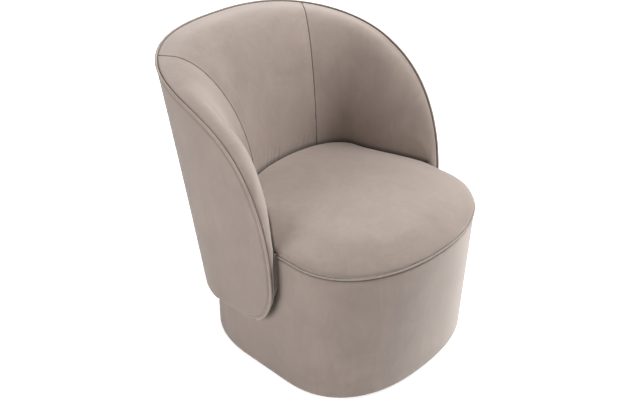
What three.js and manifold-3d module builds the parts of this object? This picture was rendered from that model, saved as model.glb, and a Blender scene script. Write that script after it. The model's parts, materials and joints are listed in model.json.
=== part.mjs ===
// Upholstered tub chair: a drum-shaped seat inside a padded wrap-round back, on a hidden swivel.
// Millimetres, +Z up, the front faces -Y, the origin is on the floor on the swivel's axis.
import * as THREE from 'three';
import { mergeVertices } from 'three/addons/utils/BufferGeometryUtils.js';
import Module from 'manifold-3d';

const wasm = await Module();
wasm.setup();

// Fits shared by every piece
const GAP = 0.3;
const SOFT_GAP = 0.5;
const OVERRUN = 5;

// Seat drum: plan of its lower edge and of the seat seam, each with a straight side and a round front
const DRUM_BOTTOM = 12;
const SEAM_HEIGHT = 390;
const DRUM_TAPER = 4;
const FOOT_FRONT_CENTRE = -131.7;
const FOOT_FRONT_REACH = 221.3;
const FOOT_SQUARENESS = 2.4;
const SEAM_HALF_WIDTH = 285.5;
const SEAM_FRONT_CENTRE = -173;
const SEAM_FRONT_REACH = 204;
const SEAM_SQUARENESS = 2.15;
const DRUM_REAR_REACH = 258;
const SEAT_CROWN = 40;
const CROWN_ROUND = 2.6;
const CROWN_FULLNESS = 1.7;

// Wrap-round shell: how far it stands proud of the drum and leans out, and how far its rim falls
const SHELL_HANG = 221;
const BACK_RISE = 372.3;
const SHELL_CENTRE = 73;
const SIDE_PROUD = 25.9;
const REAR_PROUD = 59.7;
const BOTTOM_SQUARENESS = 1.8;
const SIDE_FLARE = 21.3;
const REAR_LEAN = 99.4;
const TOP_SQUARENESS = 2.5;
const ARM_FRONT = -121.8;
const RIM_SLOPE_SHARE = 0.169;
const RIM_POWER = 5.27;
const CORNER_DEPTH = 116.5;
const CORNER_HEIGHT = 140.2;
const ARM_NOSE = 10.1;

// Inner face of the padding where it meets the seat
const ARM_OVERHANG = 91.5;
const BACK_THICKNESS = 159.2;
const INNER_SQUARENESS = 2.3;
const INNER_RISE = 40;
const ARM_FLARE_POWER = 1.4;
const CREVICE = 4;
const NOSE_GAP = 18;
const TUCK_RISE = 3;
const LEAST_ROLL = 40;
const FLAT_RIM_SHARE = 0.15;
const PANEL_SEAM_SHARE = 0.52;
const SEAM_LEAN_SHARE = 0.06;
const SEAM_SPREAD_SHARE = 0.06;
const SEAM_DIP = 5;
const ROLL_POWER = 1.25;

// Cloth, wadding and piping
const COVER = 4;
const BAND_COVER = 8;
const SKIN = 2.2;
const PIPING = 2.8;
const PIPING_INSET = 1.2;
const PIPING_TAIL = 50;
const FACING = 5;
const BOTTOM_ROUND = 6;
const CUSHION_EDGE = 1.5;

// Foam
const PAD = 40;
const LEAST_PAD_WIDTH = 54;
const PAD_FILL_SHARE = 0.5;

// Wooden frame
const PLY = 15;
const WALL_BOARD = 4;
const SHELL_BOARD = 4.5;
const RING_PLY = 18;
const RING_WIDTH = 62;
const SEAT_DEPTH = 70;
const POST_WIDTH = 38;
const POST_DEPTH = 24;
const POST_COUNT = 6;
const RAIL_DROP = 79;
const RAIL_PLY = 12;
const RAIL_WIDTH = 62;
const FLOOR_RISE = 7;
const SHELL_FLOOR_PLY = 12;
const RIB_PLY = 12;
const BOARD_FOOT = 9;
const RIB_STATION_SHARES = [-0.72, -0.36, 0, 0.36, 0.72];
const ARM_POST_SHARE = 1.3;
const CORE_REACH_SHARE = 1.6;
const ARM_BLOCK_SHARE = 1.4;
const RAIL_REACH_SHARE = 0.8;

// Webbing
const STRAP_WIDTH = 50;
const STRAP_THICKNESS = 1.8;
const STRAP_LAP = 30;
const CROSS_STRAPS = 4;
const LONG_STRAPS = 3;
const CROSS_PITCH = 92;
const LONG_PITCH = 104;
const CROSS_FIRST = -240;

// Swivel foot, and how far its axis stands behind the drum's own middle line
const SWIVEL_SET_BACK = 20.3;
const GLIDE_RADIUS = 18;
const GLIDE_HEIGHT = 4;
const GLIDE_INSET = 35;
const GLIDE_COUNT = 6;
const PLATE_RADIUS = 215;
const PLATE_THICKNESS = 6;
const PLATE_CHAMFER = 1.5;
const RACE_INNER = 82;
const RACE_OUTER = 138;
const RACE_SHEET = 1.6;
const RACE_LIP = 1.7;
const RACE_LIP_WIDTH = 4;
const RACE_LIP_OFFSET = 10;
const BALL_RADIUS = 2.3;
const BALL_RING = 110;
const BALL_COUNT = 12;
const CAGE_WIDTH = 5;
const CAGE_THICKNESS = 1.2;
const PIN_RADIUS = 9;
const PIN_CLEARANCE = 1;
const COLLAR_RADIUS = 20;
const COLLAR_HEIGHT = 8;
const DUST_HOLE_CLEARANCE = 8;

// Fineness of the curved pieces
const BACK_STEPS = 4;
const ARM_STEPS = 8;
const WALL_STEPS = 5;
const ROUND_STEPS = 32;
const STATION_STEPS = 400;
const ROLL_SHARES = [0, 0.2, 0.42, 0.62, 0.78, 0.9, 0.97, 1];
const CROWN_SHARES = [1, 0.97, 0.9, 0.75, 0.45];
const OUTLINE_STEPS = 48;
const TUBE_SIDES = 6;

// Derived sizes of the drum, the shell and the padding's inner face
const FOOT_HALF_WIDTH = SEAM_HALF_WIDTH + DRUM_TAPER;
const SHELL_BOTTOM = SEAM_HEIGHT - SHELL_HANG;
const SHELL_TOP = SEAM_HEIGHT + BACK_RISE;
const BOTTOM_HALF_WIDTH = SEAM_HALF_WIDTH + SIDE_PROUD;
const TOP_HALF_WIDTH = BOTTOM_HALF_WIDTH + SIDE_FLARE;
const BOTTOM_REAR_REACH = DRUM_REAR_REACH + REAR_PROUD - SHELL_CENTRE;
const TOP_REAR_REACH = BOTTOM_REAR_REACH + REAR_LEAN;
const ARM_LENGTH = SHELL_CENTRE - ARM_FRONT;
const CORNER_CENTRE = ARM_FRONT + CORNER_DEPTH;
const RIM_FRONT = SHELL_BOTTOM + CORNER_HEIGHT + ARM_NOSE;
const RIM_DROP = SHELL_TOP - RIM_SLOPE_SHARE * (TOP_REAR_REACH + ARM_LENGTH) - RIM_FRONT;
const INNER_HALF_WIDTH = SEAM_HALF_WIDTH - ARM_OVERHANG;
const INNER_REAR_REACH = BOTTOM_REAR_REACH - BACK_THICKNESS;
const INNER_HEIGHT = SEAM_HEIGHT + INNER_RISE;
const TUCK_HEIGHT = SEAM_HEIGHT + TUCK_RISE;

// Derived heights of the stacked pieces
const GLIDE_RING = PLATE_RADIUS - GLIDE_INSET;
const PLATE_BOTTOM = GLIDE_HEIGHT + GAP;
const PLATE_TOP = PLATE_BOTTOM + PLATE_THICKNESS;
const LOWER_RACE_TOP = PLATE_TOP + GAP + RACE_SHEET;
const BALL_CENTRE = LOWER_RACE_TOP + GAP + BALL_RADIUS;
const UPPER_RACE_BOTTOM = BALL_CENTRE + BALL_RADIUS + GAP;
const UPPER_RACE_TOP = UPPER_RACE_BOTTOM + RACE_SHEET;
const BOARD_BOTTOM = UPPER_RACE_TOP + GAP;
const BOARD_TOP = BOARD_BOTTOM + PLY;
const FRAME_TOP = SEAM_HEIGHT - SEAT_DEPTH;
const RING_BOTTOM = FRAME_TOP - RING_PLY;
const SHELL_FLOOR = SHELL_BOTTOM + FLOOR_RISE;
const RAIL_HEIGHT = SHELL_TOP - RAIL_DROP;
const LONG_STRAP_BOTTOM = FRAME_TOP + GAP + STRAP_THICKNESS + GAP;
const FOAM_BOTTOM = LONG_STRAP_BOTTOM + STRAP_THICKNESS + GAP;
const PIPING_HEIGHT = SEAM_HEIGHT - PIPING / 2;
const BAND_TOP = PIPING_HEIGHT - PIPING - GAP;
const COVER_BOTTOM = PIPING_HEIGHT + PIPING + GAP;
const WALL_INSET = BAND_COVER + SOFT_GAP;
const FRAME_INSET = WALL_INSET + WALL_BOARD + GAP;
const BOARD_INSET = COVER + GAP;
const BOARD_BACK = BOARD_INSET + SHELL_BOARD + GAP;
const RIM_EDGE = PIPING_INSET + PIPING + GAP;

const mix = (a, b, share) => a + (b - a) * share;

// Drum plan
function drumSize(z, inset) {
  const share = (z - DRUM_BOTTOM) / (SEAM_HEIGHT - DRUM_BOTTOM);
  return {
    half: mix(FOOT_HALF_WIDTH, SEAM_HALF_WIDTH, share) - inset,
    frontCentre: mix(FOOT_FRONT_CENTRE, SEAM_FRONT_CENTRE, share),
  };
}

const power = (value, exponent) => Math.max(0, value) ** exponent;

// A quarter of a rounded square in plan: from its end on the side line to its end on the middle line
function cornerPoint(turn, half, start, reach, squareness) {
  const [wide, narrow] = [Math.cos(turn), Math.sin(turn)].map((v) => power(v, 2 / squareness));
  return [half * wide, start + reach * narrow];
}

// One quarter of the drum's outline: from the rear middle to the side, or from the side to the front
function drumQuarter(z, inset, forward) {
  const share = (z - DRUM_BOTTOM) / (SEAM_HEIGHT - DRUM_BOTTOM);
  const steps = OUTLINE_STEPS / 4;
  const [footHalf, seamHalf] = [FOOT_HALF_WIDTH - inset, SEAM_HALF_WIDTH - inset];
  const [footReach, seamReach] = [inset - FOOT_FRONT_REACH, inset - SEAM_FRONT_REACH];
  const rearReach = DRUM_REAR_REACH - inset;
  const points = [];
  for (let i = 0; i <= steps; i += 1) {
    const turn = (i / steps) * (Math.PI / 2);
    const rearTurn = Math.PI / 2 - turn;
    let low = cornerPoint(rearTurn, footHalf, 0, rearReach, FOOT_SQUARENESS);
    let high = cornerPoint(rearTurn, seamHalf, 0, rearReach, FOOT_SQUARENESS);
    if (forward) {
      low = cornerPoint(turn, footHalf, FOOT_FRONT_CENTRE, footReach, FOOT_SQUARENESS);
      high = cornerPoint(turn, seamHalf, SEAM_FRONT_CENTRE, seamReach, SEAM_SQUARENESS);
    }
    points.push([mix(low[0], high[0], share), mix(low[1], high[1], share)]);
  }
  return points;
}

const mirrored = (right) => [...right, ...right.slice(1, -1).reverse().map(([x, y]) => [-x, y])];

// The whole outline from the rear middle, over the right side and the front, and back on the left
function drumOutline(z, inset) {
  return mirrored([...drumQuarter(z, inset, false), ...drumQuarter(z, inset, true)]);
}

// Where a straight line in plan crosses an outline: its least and its greatest place along the line
function crossings(outline, across) {
  const found = [];
  outline.forEach((p, i) => {
    const q = outline[(i + 1) % outline.length];
    const [from, to] = [across(p), across(q)];
    if (from * to > 0 || from === to) return;
    const share = from / (from - to);
    found.push([mix(p[0], q[0], share), mix(p[1], q[1], share)]);
  });
  const [xs, ys] = [found.map(([x]) => x), found.map(([, y]) => y)];
  return { side: Math.max(...xs), rear: Math.max(...ys), front: Math.min(...ys) };
}

// How far a point lies out from the drum's middle line, 0 there and 1 on the seam
function drumSpread(x, y) {
  let along = 0;
  if (y > 0) along = y / DRUM_REAR_REACH;
  if (y < SEAM_FRONT_CENTRE) along = (SEAM_FRONT_CENTRE - y) / SEAM_FRONT_REACH;
  const sum = Math.abs(x / SEAM_HALF_WIDTH) ** SEAM_SQUARENESS + along ** SEAM_SQUARENESS;
  return Math.min(1, sum ** (1 / SEAM_SQUARENESS));
}

function crownHeight(x, y) {
  const rest = Math.max(0, 1 - drumSpread(x, y) ** CROWN_ROUND);
  return COVER_BOTTOM + CUSHION_EDGE + SEAT_CROWN * rest ** (1 / CROWN_FULLNESS);
}

// Shell plan: a station runs from 0 at the rear middle to 1 at the side and 2 at the arm's front edge
function curvePoint(curve, station, inset, frontInset) {
  const side = Math.sign(station);
  const run = Math.abs(station);
  const half = curve.half - inset;
  if (run <= 1) {
    const turn = (run * Math.PI) / 2;
    const x = half * Math.sin(turn) ** (2 / curve.square);
    const y = SHELL_CENTRE + (curve.rear - inset) * Math.max(0, Math.cos(turn)) ** (2 / curve.square);
    return [side * x, y];
  }
  const reach = (ARM_LENGTH - frontInset) * Math.sin(((run - 1) * Math.PI) / 2);
  return [side * half, SHELL_CENTRE - reach];
}

const BOTTOM_CURVE = { half: BOTTOM_HALF_WIDTH, rear: BOTTOM_REAR_REACH, square: BOTTOM_SQUARENESS };
const TOP_CURVE = { half: TOP_HALF_WIDTH, rear: TOP_REAR_REACH, square: TOP_SQUARENESS };
const INNER_CURVE = { half: INNER_HALF_WIDTH, rear: INNER_REAR_REACH, square: INNER_SQUARENESS };

// The outer wall is ruled between the bottom and the top curve
function wallPoint(station, z, inset = 0, frontInset = 0) {
  const low = curvePoint(BOTTOM_CURVE, station, inset, frontInset);
  const high = curvePoint(TOP_CURVE, station, inset, frontInset);
  const share = (z - SHELL_BOTTOM) / (SHELL_TOP - SHELL_BOTTOM);
  return [mix(low[0], high[0], share), mix(low[1], high[1], share), z];
}

// Height of the rim over a station: level at the back, then falling ever more steeply to the front
function rimHeight(station, inset = 0) {
  const y = curvePoint(TOP_CURVE, station, 0, inset)[1];
  const back = SHELL_CENTRE + TOP_REAR_REACH - y;
  const reach = SHELL_CENTRE + TOP_REAR_REACH - ARM_FRONT - inset;
  const fall = Math.min(1, back / reach) ** RIM_POWER;
  return SHELL_TOP - inset - RIM_SLOPE_SHARE * back - RIM_DROP * (1 - Math.sqrt(1 - fall));
}

// Height of the shell's lower edge: level, with a rounded corner under the arm's front
function hemHeight(station, inset = 0) {
  const y = curvePoint(TOP_CURVE, station, 0, inset)[1];
  const depth = CORNER_CENTRE - ARM_FRONT - inset;
  const share = Math.min(1, Math.max(0, CORNER_CENTRE - y) / depth);
  return SHELL_BOTTOM + CORNER_HEIGHT - (CORNER_HEIGHT - inset) * Math.sqrt(1 - share * share);
}

// Plan of the padding's inner face at the seat
function innerFoot(station, outset = 0) {
  const run = Math.abs(station);
  if (run <= 1) {
    const lean = SEAM_LEAN_SHARE * Math.sin(Math.PI * run);
    return curvePoint(INNER_CURVE, Math.sign(station) * (run - lean), -outset, 0);
  }
  const nose = SEAM_HALF_WIDTH + NOSE_GAP;
  const y = curvePoint(INNER_CURVE, station, 0, 0)[1];
  const forward = power(Math.sin((((y - ARM_FRONT) / ARM_LENGTH) * Math.PI) / 2), ARM_FLARE_POWER);
  const half = nose - (nose - INNER_HALF_WIDTH) * forward;
  return [Math.sign(station) * (half + outset), y];
}

function innerHeight(station) {
  return Math.max(TUCK_HEIGHT + GAP, Math.min(INNER_HEIGHT, rimHeight(station) - LEAST_ROLL));
}

function paddingWidth(station) {
  const rim = wallPoint(station, rimHeight(station));
  const foot = innerFoot(station);
  return Math.hypot(rim[0] - foot[0], rim[1] - foot[1]);
}

// How far the face is drawn in beside one of the two upright seams of the inner back
function seamDip(station) {
  const away = (Math.abs(station) - PANEL_SEAM_SHARE) / SEAM_SPREAD_SHARE;
  return SEAM_DIP * Math.exp(-away * away);
}

// One station of the padding, at a depth under its face: from the rim over the roll to the seat
function paddingRows(station, depth, edge) {
  const width = paddingWidth(station);
  const high = rimHeight(station) - depth;
  const start = wallPoint(station, high, RIM_EDGE);
  const foot = innerFoot(station);
  const end = [0, 1].map((k) => mix(foot[k], wallPoint(station, rimHeight(station))[k], depth / width));
  const low = Math.min(innerHeight(station), high - COVER);
  const rows = ROLL_SHARES.map((share) => {
    const roll = Math.max(0, (share - FLAT_RIM_SHARE) / (1 - FLAT_RIM_SHARE));
    const down = 1 - (1 - roll * roll) ** (ROLL_POWER / 2);
    const sunk = (seamDip(station) * Math.sin(Math.PI * Math.min(1, share))) / width;
    const inward = share - sunk;
    return [mix(start[0], end[0], inward), mix(start[1], end[1], inward), mix(high, low, down)];
  });
  rows[0] = wallPoint(station, high, edge);
  rows.push([end[0], end[1], TUCK_HEIGHT]);
  return rows;
}

// The stations on one half that every layer of the shell shares, closer together at the upright seam
function sideStations() {
  const stations = [];
  const near = PANEL_SEAM_SHARE - SEAM_SPREAD_SHARE;
  const past = PANEL_SEAM_SHARE + SEAM_SPREAD_SHARE;
  for (let i = 1; i <= BACK_STEPS; i += 1) stations.push((near * i) / BACK_STEPS);
  stations.push(PANEL_SEAM_SHARE);
  for (let i = 0; i < BACK_STEPS; i += 1) stations.push(mix(past, 1, i / BACK_STEPS));
  for (let i = 0; i <= ARM_STEPS; i += 1) stations.push(1 + i / ARM_STEPS);
  return stations;
}

function stationList(from, to) {
  const right = sideStations();
  const all = [...right.map((s) => -s).reverse(), 0, ...right];
  const inside = all.filter((s) => s > from + GAP / ARM_LENGTH && s < to - GAP / ARM_LENGTH);
  return [from, ...inside, to];
}

// Mesh helpers
function meshFrom(points, faces) {
  const geometry = new THREE.BufferGeometry();
  geometry.setAttribute('position', new THREE.Float32BufferAttribute(points.flat(), 3));
  geometry.setIndex(faces.flat());
  return outward(geometry);
}

function outward(source) {
  source.deleteAttribute('normal');
  source.deleteAttribute('uv');
  const geometry = mergeVertices(source);
  const place = geometry.getAttribute('position');
  const index = geometry.getIndex().array;
  const kept = [];
  let volume = 0;
  const [a, b, c] = [new THREE.Vector3(), new THREE.Vector3(), new THREE.Vector3()];
  for (let i = 0; i < index.length; i += 3) {
    const [p, q, r] = [index[i], index[i + 1], index[i + 2]];
    if (p === q || q === r || r === p) continue;
    kept.push(p, q, r);
    a.fromBufferAttribute(place, p);
    b.fromBufferAttribute(place, q);
    c.fromBufferAttribute(place, r);
    volume += a.dot(b.cross(c));
  }
  if (volume < 0) kept.reverse();
  geometry.setIndex(kept);
  return geometry;
}

// A sheet with thickness: two grids of points, front and back, joined round their edges
function sheetSolid(front, back, closed = false) {
  const columns = front.length;
  const rows = front[0].length;
  const points = [...front.flat(), ...back.flat()];
  const at = (layer, i, j) => layer * columns * rows + (i % columns) * rows + j;
  const faces = [];
  const quad = (p, q, r, s) => faces.push([p, q, r], [p, r, s]);
  const spans = closed ? columns : columns - 1;
  for (let i = 0; i < spans; i += 1) {
    for (let j = 0; j < rows - 1; j += 1) {
      quad(at(0, i, j), at(0, i + 1, j), at(0, i + 1, j + 1), at(0, i, j + 1));
      quad(at(1, i, j), at(1, i, j + 1), at(1, i + 1, j + 1), at(1, i + 1, j));
    }
    quad(at(1, i, 0), at(1, i + 1, 0), at(0, i + 1, 0), at(0, i, 0));
    quad(at(0, i, rows - 1), at(0, i + 1, rows - 1), at(1, i + 1, rows - 1), at(1, i, rows - 1));
  }
  if (!closed) {
    for (let j = 0; j < rows - 1; j += 1) {
      quad(at(0, 0, j), at(0, 0, j + 1), at(1, 0, j + 1), at(1, 0, j));
      const last = columns - 1;
      quad(at(0, last, j + 1), at(0, last, j), at(1, last, j), at(1, last, j + 1));
    }
  }
  return meshFrom(points, faces);
}

const columnsOf = (loops) => loops[0].map((_, i) => loops.map((loop) => loop[i]));

// A solid made of closed loops, one inside the next, that starts and ends in a single point
function domeSolid(loops, start, end) {
  const count = loops[0].length;
  const points = [start, ...loops.flat(), end];
  const faces = [];
  const at = (k, i) => 1 + k * count + (i % count);
  const last = points.length - 1;
  for (let i = 0; i < count; i += 1) {
    faces.push([0, at(0, i), at(0, i + 1)]);
    for (let k = 0; k < loops.length - 1; k += 1) {
      faces.push([at(k, i), at(k + 1, i), at(k + 1, i + 1)]);
      faces.push([at(k, i), at(k + 1, i + 1), at(k, i + 1)]);
    }
    faces.push([at(loops.length - 1, i), last, at(loops.length - 1, i + 1)]);
  }
  return meshFrom(points, faces);
}

function plate(outline, bottom, thickness, holes = []) {
  const corners = outline.map((p) => new THREE.Vector2(p[0], p[1]));
  if (THREE.ShapeUtils.isClockWise(corners)) corners.reverse();
  const shape = new THREE.Shape(corners);
  shape.holes = holes.map((hole) => new THREE.Path(hole.map((p) => new THREE.Vector2(p[0], p[1]))));
  const geometry = new THREE.ExtrudeGeometry(shape, { depth: thickness, bevelEnabled: false });
  geometry.translate(0, 0, bottom);
  return outward(geometry);
}

function circleOutline(radius, steps, centre = 0) {
  const points = [];
  for (let i = 0; i < steps; i += 1) {
    const turn = (i / steps) * 2 * Math.PI;
    points.push([radius * Math.cos(turn), centre + radius * Math.sin(turn)]);
  }
  return points;
}

function tube(route, radius, steps) {
  const curve = new THREE.CatmullRomCurve3(route.map((p) => new THREE.Vector3(...p)));
  const circle = circleOutline(radius, TUBE_SIDES).map((p) => new THREE.Vector2(p[0], p[1]));
  const section = new THREE.Shape(circle);
  return outward(new THREE.ExtrudeGeometry(section, { steps, extrudePath: curve, bevelEnabled: false }));
}

function revolve(profile) {
  const outline = [...profile, profile[0]].map((p) => new THREE.Vector2(p[0], p[1]));
  const geometry = new THREE.LatheGeometry(outline, ROUND_STEPS);
  geometry.rotateX(Math.PI / 2);
  return outward(geometry);
}

function block(width, depth, height, centre) {
  const geometry = new THREE.BoxGeometry(width, depth, height);
  geometry.translate(...centre);
  return outward(geometry);
}

function toManifold(geometry) {
  const vertProperties = new Float32Array(geometry.getAttribute('position').array);
  const triVerts = new Uint32Array(geometry.getIndex().array);
  return new wasm.Manifold(new wasm.Mesh({ numProp: 3, vertProperties, triVerts }));
}

function fromManifold(solid) {
  const mesh = solid.getMesh();
  const geometry = new THREE.BufferGeometry();
  geometry.setAttribute('position', new THREE.BufferAttribute(mesh.vertProperties, 3));
  geometry.setIndex(new THREE.BufferAttribute(mesh.triVerts, 1));
  return outward(geometry);
}

// Materials, with the colours seen in the photograph
function finish(color, roughness, metalness = 0) {
  return new THREE.MeshStandardMaterial({ color, roughness, metalness });
}

const VELVET = finish(0xab9c90, 0.85);
const PIPED = finish(0x9c8d82, 0.85);
const FOAM = finish(0xe8e0c4, 0.95);
const PLYWOOD = finish(0xc9a877, 0.7);
const SOFTWOOD = finish(0xd8b98a, 0.75);
const FIBREBOARD = finish(0x8a6b4c, 0.85);
const WEBBING = finish(0x2f2f31, 0.9);
const LINING = finish(0x1f1f20, 0.95);
const STEEL = finish(0x4a4c4f, 0.45, 0.9);
const BRIGHT_STEEL = finish(0xb8babd, 0.25, 1);
const NYLON = finish(0x232324, 0.6);

const chair = new THREE.Group();
const swivel = new THREE.Group();
const upholstered = new THREE.Group();
upholstered.position.y = -SWIVEL_SET_BACK;
chair.add(swivel, upholstered);

function add(name, geometry, material, group = upholstered) {
  const mesh = new THREE.Mesh(geometry, material);
  mesh.name = name;
  group.add(mesh);
  return mesh;
}

// Swivel foot: what stays still on the floor
function makeGlides() {
  for (let i = 0; i < GLIDE_COUNT; i += 1) {
    const turn = ((i + 1 / 2) / GLIDE_COUNT) * 2 * Math.PI;
    const sides = OUTLINE_STEPS / 3;
    const glide = new THREE.CylinderGeometry(GLIDE_RADIUS, GLIDE_RADIUS, GLIDE_HEIGHT, sides);
    glide.rotateX(Math.PI / 2);
    const mesh = add(`glide_${i + 1}`, outward(glide), NYLON, swivel);
    mesh.position.set(GLIDE_RING * Math.cos(turn), GLIDE_RING * Math.sin(turn), GLIDE_HEIGHT / 2);
  }
}

function makeFloorPlate() {
  const profile = [
    [0, PLATE_BOTTOM],
    [PLATE_RADIUS, PLATE_BOTTOM],
    [PLATE_RADIUS, PLATE_TOP - PLATE_CHAMFER],
    [PLATE_RADIUS - PLATE_CHAMFER, PLATE_TOP],
    [0, PLATE_TOP],
  ];
  add('floor_plate', revolve(profile), STEEL, swivel);
}

// A pressed ring with one raised lip that keeps the balls in their track
function raceProfile(flange, face, lipRadius, lipTip) {
  return [
    [RACE_INNER, flange],
    [RACE_OUTER, flange],
    [RACE_OUTER, face],
    [lipRadius + RACE_LIP_WIDTH, face],
    [lipRadius + RACE_LIP_WIDTH, lipTip],
    [lipRadius, lipTip],
    [lipRadius, face],
    [RACE_INNER, face],
  ];
}

function makeSwivel() {
  const inside = BALL_RING - RACE_LIP_OFFSET - RACE_LIP_WIDTH;
  const outside = BALL_RING + RACE_LIP_OFFSET;
  const lower = raceProfile(PLATE_TOP + GAP, LOWER_RACE_TOP, inside, LOWER_RACE_TOP + RACE_LIP);
  add('lower_race', revolve(lower), STEEL, swivel);
  const upper = raceProfile(UPPER_RACE_TOP, UPPER_RACE_BOTTOM, outside, UPPER_RACE_BOTTOM - RACE_LIP);
  add('upper_race', revolve(upper), STEEL, swivel);

  const halfCage = CAGE_THICKNESS / 2;
  let cage = toManifold(revolve([
    [BALL_RING - CAGE_WIDTH, BALL_CENTRE - halfCage],
    [BALL_RING + CAGE_WIDTH, BALL_CENTRE - halfCage],
    [BALL_RING + CAGE_WIDTH, BALL_CENTRE + halfCage],
    [BALL_RING - CAGE_WIDTH, BALL_CENTRE + halfCage],
  ]));
  for (let i = 0; i < BALL_COUNT; i += 1) {
    const turn = (i / BALL_COUNT) * 2 * Math.PI;
    const ball = new THREE.SphereGeometry(BALL_RADIUS, TUBE_SIDES, TUBE_SIDES / 2 + 1);
    ball.rotateX(Math.PI / 2);
    ball.translate(BALL_RING * Math.cos(turn), BALL_RING * Math.sin(turn), BALL_CENTRE);
    cage = cage.add(toManifold(outward(ball)));
  }
  add('ball_cage', fromManifold(cage), BRIGHT_STEEL, swivel);

  const collarBottom = BOARD_TOP + GAP;
  add('pivot_pin', revolve([
    [0, PLATE_TOP + GAP],
    [PIN_RADIUS, PLATE_TOP + GAP],
    [PIN_RADIUS, collarBottom + COLLAR_HEIGHT],
    [0, collarBottom + COLLAR_HEIGHT],
  ]), BRIGHT_STEEL, swivel);
  add('pivot_collar', revolve([
    [PIN_RADIUS + GAP, collarBottom],
    [COLLAR_RADIUS, collarBottom],
    [COLLAR_RADIUS, collarBottom + COLLAR_HEIGHT],
    [PIN_RADIUS + GAP, collarBottom + COLLAR_HEIGHT],
  ]), BRIGHT_STEEL, swivel);
}

// Drum frame
function makeDrumFrame() {
  const hole = circleOutline(PIN_RADIUS + PIN_CLEARANCE, ROUND_STEPS, SWIVEL_SET_BACK);
  const boardOutline = drumOutline(BOARD_BOTTOM, FRAME_INSET);
  add('bottom_board', plate(boardOutline, BOARD_BOTTOM, PLY, [hole]), PLYWOOD);

  const ringOutline = drumOutline(RING_BOTTOM, FRAME_INSET);
  const ringHole = drumOutline(RING_BOTTOM, FRAME_INSET + RING_WIDTH);
  add('seat_ring', plate(ringOutline, RING_BOTTOM, RING_PLY, [ringHole]), PLYWOOD);

  for (let i = 0; i < POST_COUNT; i += 1) {
    const bottom = BOARD_TOP + GAP;
    const height = RING_BOTTOM - GAP - bottom;
    const outline = drumOutline(BOARD_BOTTOM, FRAME_INSET + POST_DEPTH);
    const [x, y] = outline[Math.round(((i + 1 / 2) / POST_COUNT) * outline.length)];
    const post = add(`post_${i + 1}`, block(POST_WIDTH, POST_DEPTH, height, [0, 0, 0]), SOFTWOOD);
    post.position.set(x, y, bottom + height / 2);
    post.rotation.z = Math.atan2(y - FOOT_FRONT_CENTRE / 2, x) + Math.PI / 2;
  }

  const levels = [BOARD_BOTTOM, FRAME_TOP];
  const ring = (offset) => levels.map((z) => drumOutline(z, offset).map((p) => [...p, z]));
  const wall = sheetSolid(columnsOf(ring(WALL_INSET)), columnsOf(ring(WALL_INSET + WALL_BOARD)), true);
  add('drum_wall', wall, FIBREBOARD);
}

function makeWebbing() {
  const frame = drumOutline(RING_BOTTOM, FRAME_INSET);
  const crossBottom = FRAME_TOP + GAP;
  for (let i = 0; i < CROSS_STRAPS; i += 1) {
    const y = CROSS_FIRST + i * CROSS_PITCH;
    const edges = [y - STRAP_WIDTH / 2, y + STRAP_WIDTH / 2];
    const reaches = edges.map((edge) => crossings(frame, (p) => p[1] - edge).side);
    const half = Math.min(...reaches) - RING_WIDTH + STRAP_LAP;
    const centre = [0, y, crossBottom + STRAP_THICKNESS / 2];
    add(`cross_strap_${i + 1}`, block(2 * half, STRAP_WIDTH, STRAP_THICKNESS, centre), WEBBING);
  }
  for (let i = 0; i < LONG_STRAPS; i += 1) {
    const x = (i - (LONG_STRAPS - 1) / 2) * LONG_PITCH;
    const edge = Math.abs(x) + STRAP_WIDTH / 2;
    const reach = crossings(frame, (p) => p[0] - edge);
    const rear = reach.rear - RING_WIDTH + STRAP_LAP;
    const front = reach.front + RING_WIDTH - STRAP_LAP;
    const centre = [x, (rear + front) / 2, LONG_STRAP_BOTTOM + STRAP_THICKNESS / 2];
    add(`long_strap_${i + 1}`, block(STRAP_WIDTH, rear - front, STRAP_THICKNESS, centre), WEBBING);
  }
}

// The station nearest the arm's front at which a test holds
function lastStation(test) {
  const step = 1 / STATION_STEPS;
  let station = 2;
  while (station > 1 && !test(station)) station -= step;
  return station;
}

// Outline of the seat cushion: the padding's inner face at the back and sides, the drum's seam in front
function cushionOutline(inset, z) {
  const half = drumSize(z, inset).half;
  const sides = stationList(0, 2).map((station) => {
    const [x, y] = innerFoot(station, -CREVICE / 2 - inset);
    return [Math.min(x, half), y];
  });
  return mirrored([...sides, ...drumQuarter(z, inset, true)]);
}

function cushionLoops(inset, shares, height, z = SEAM_HEIGHT) {
  const outline = cushionOutline(inset, z);
  const centre = [0, SEAM_FRONT_CENTRE / 2];
  return shares.map((share) => outline.map((p) => {
    const x = mix(centre[0], p[0], share);
    const y = mix(centre[1], p[1], share);
    return [x, y, height(x, y)];
  }));
}

function makeSeat() {
  const middle = [0, SEAM_FRONT_CENTRE / 2];
  const under = (x, y) => Math.max(COVER_BOTTOM + GAP, crownHeight(x, y) - COVER);
  const foamTop = (x, y) => under(x, y) - GAP;
  const foamInset = BAND_COVER + GAP;
  const foamLoops = [
    ...cushionLoops(foamInset, [1], () => FOAM_BOTTOM, FOAM_BOTTOM),
    ...cushionLoops(foamInset, [1], () => BAND_TOP, BAND_TOP),
    ...cushionLoops(foamInset, [1], foamTop),
    ...cushionLoops(BAND_COVER, CROWN_SHARES.slice(1), foamTop),
  ];
  const ends = [FOAM_BOTTOM, foamTop(...middle)].map((z) => [...middle, z]);
  add('seat_foam', domeSolid(foamLoops, ...ends), FOAM);

  const faceOf = (inset, height) => [
    ...cushionLoops(inset, [1], () => COVER_BOTTOM),
    ...cushionLoops(inset, [...CROWN_SHARES, 0], height),
  ];
  const top = columnsOf(faceOf(0, crownHeight));
  add('seat_cover', sheetSolid(top, columnsOf(faceOf(BAND_COVER, under)), true), VELVET);
}

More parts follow.
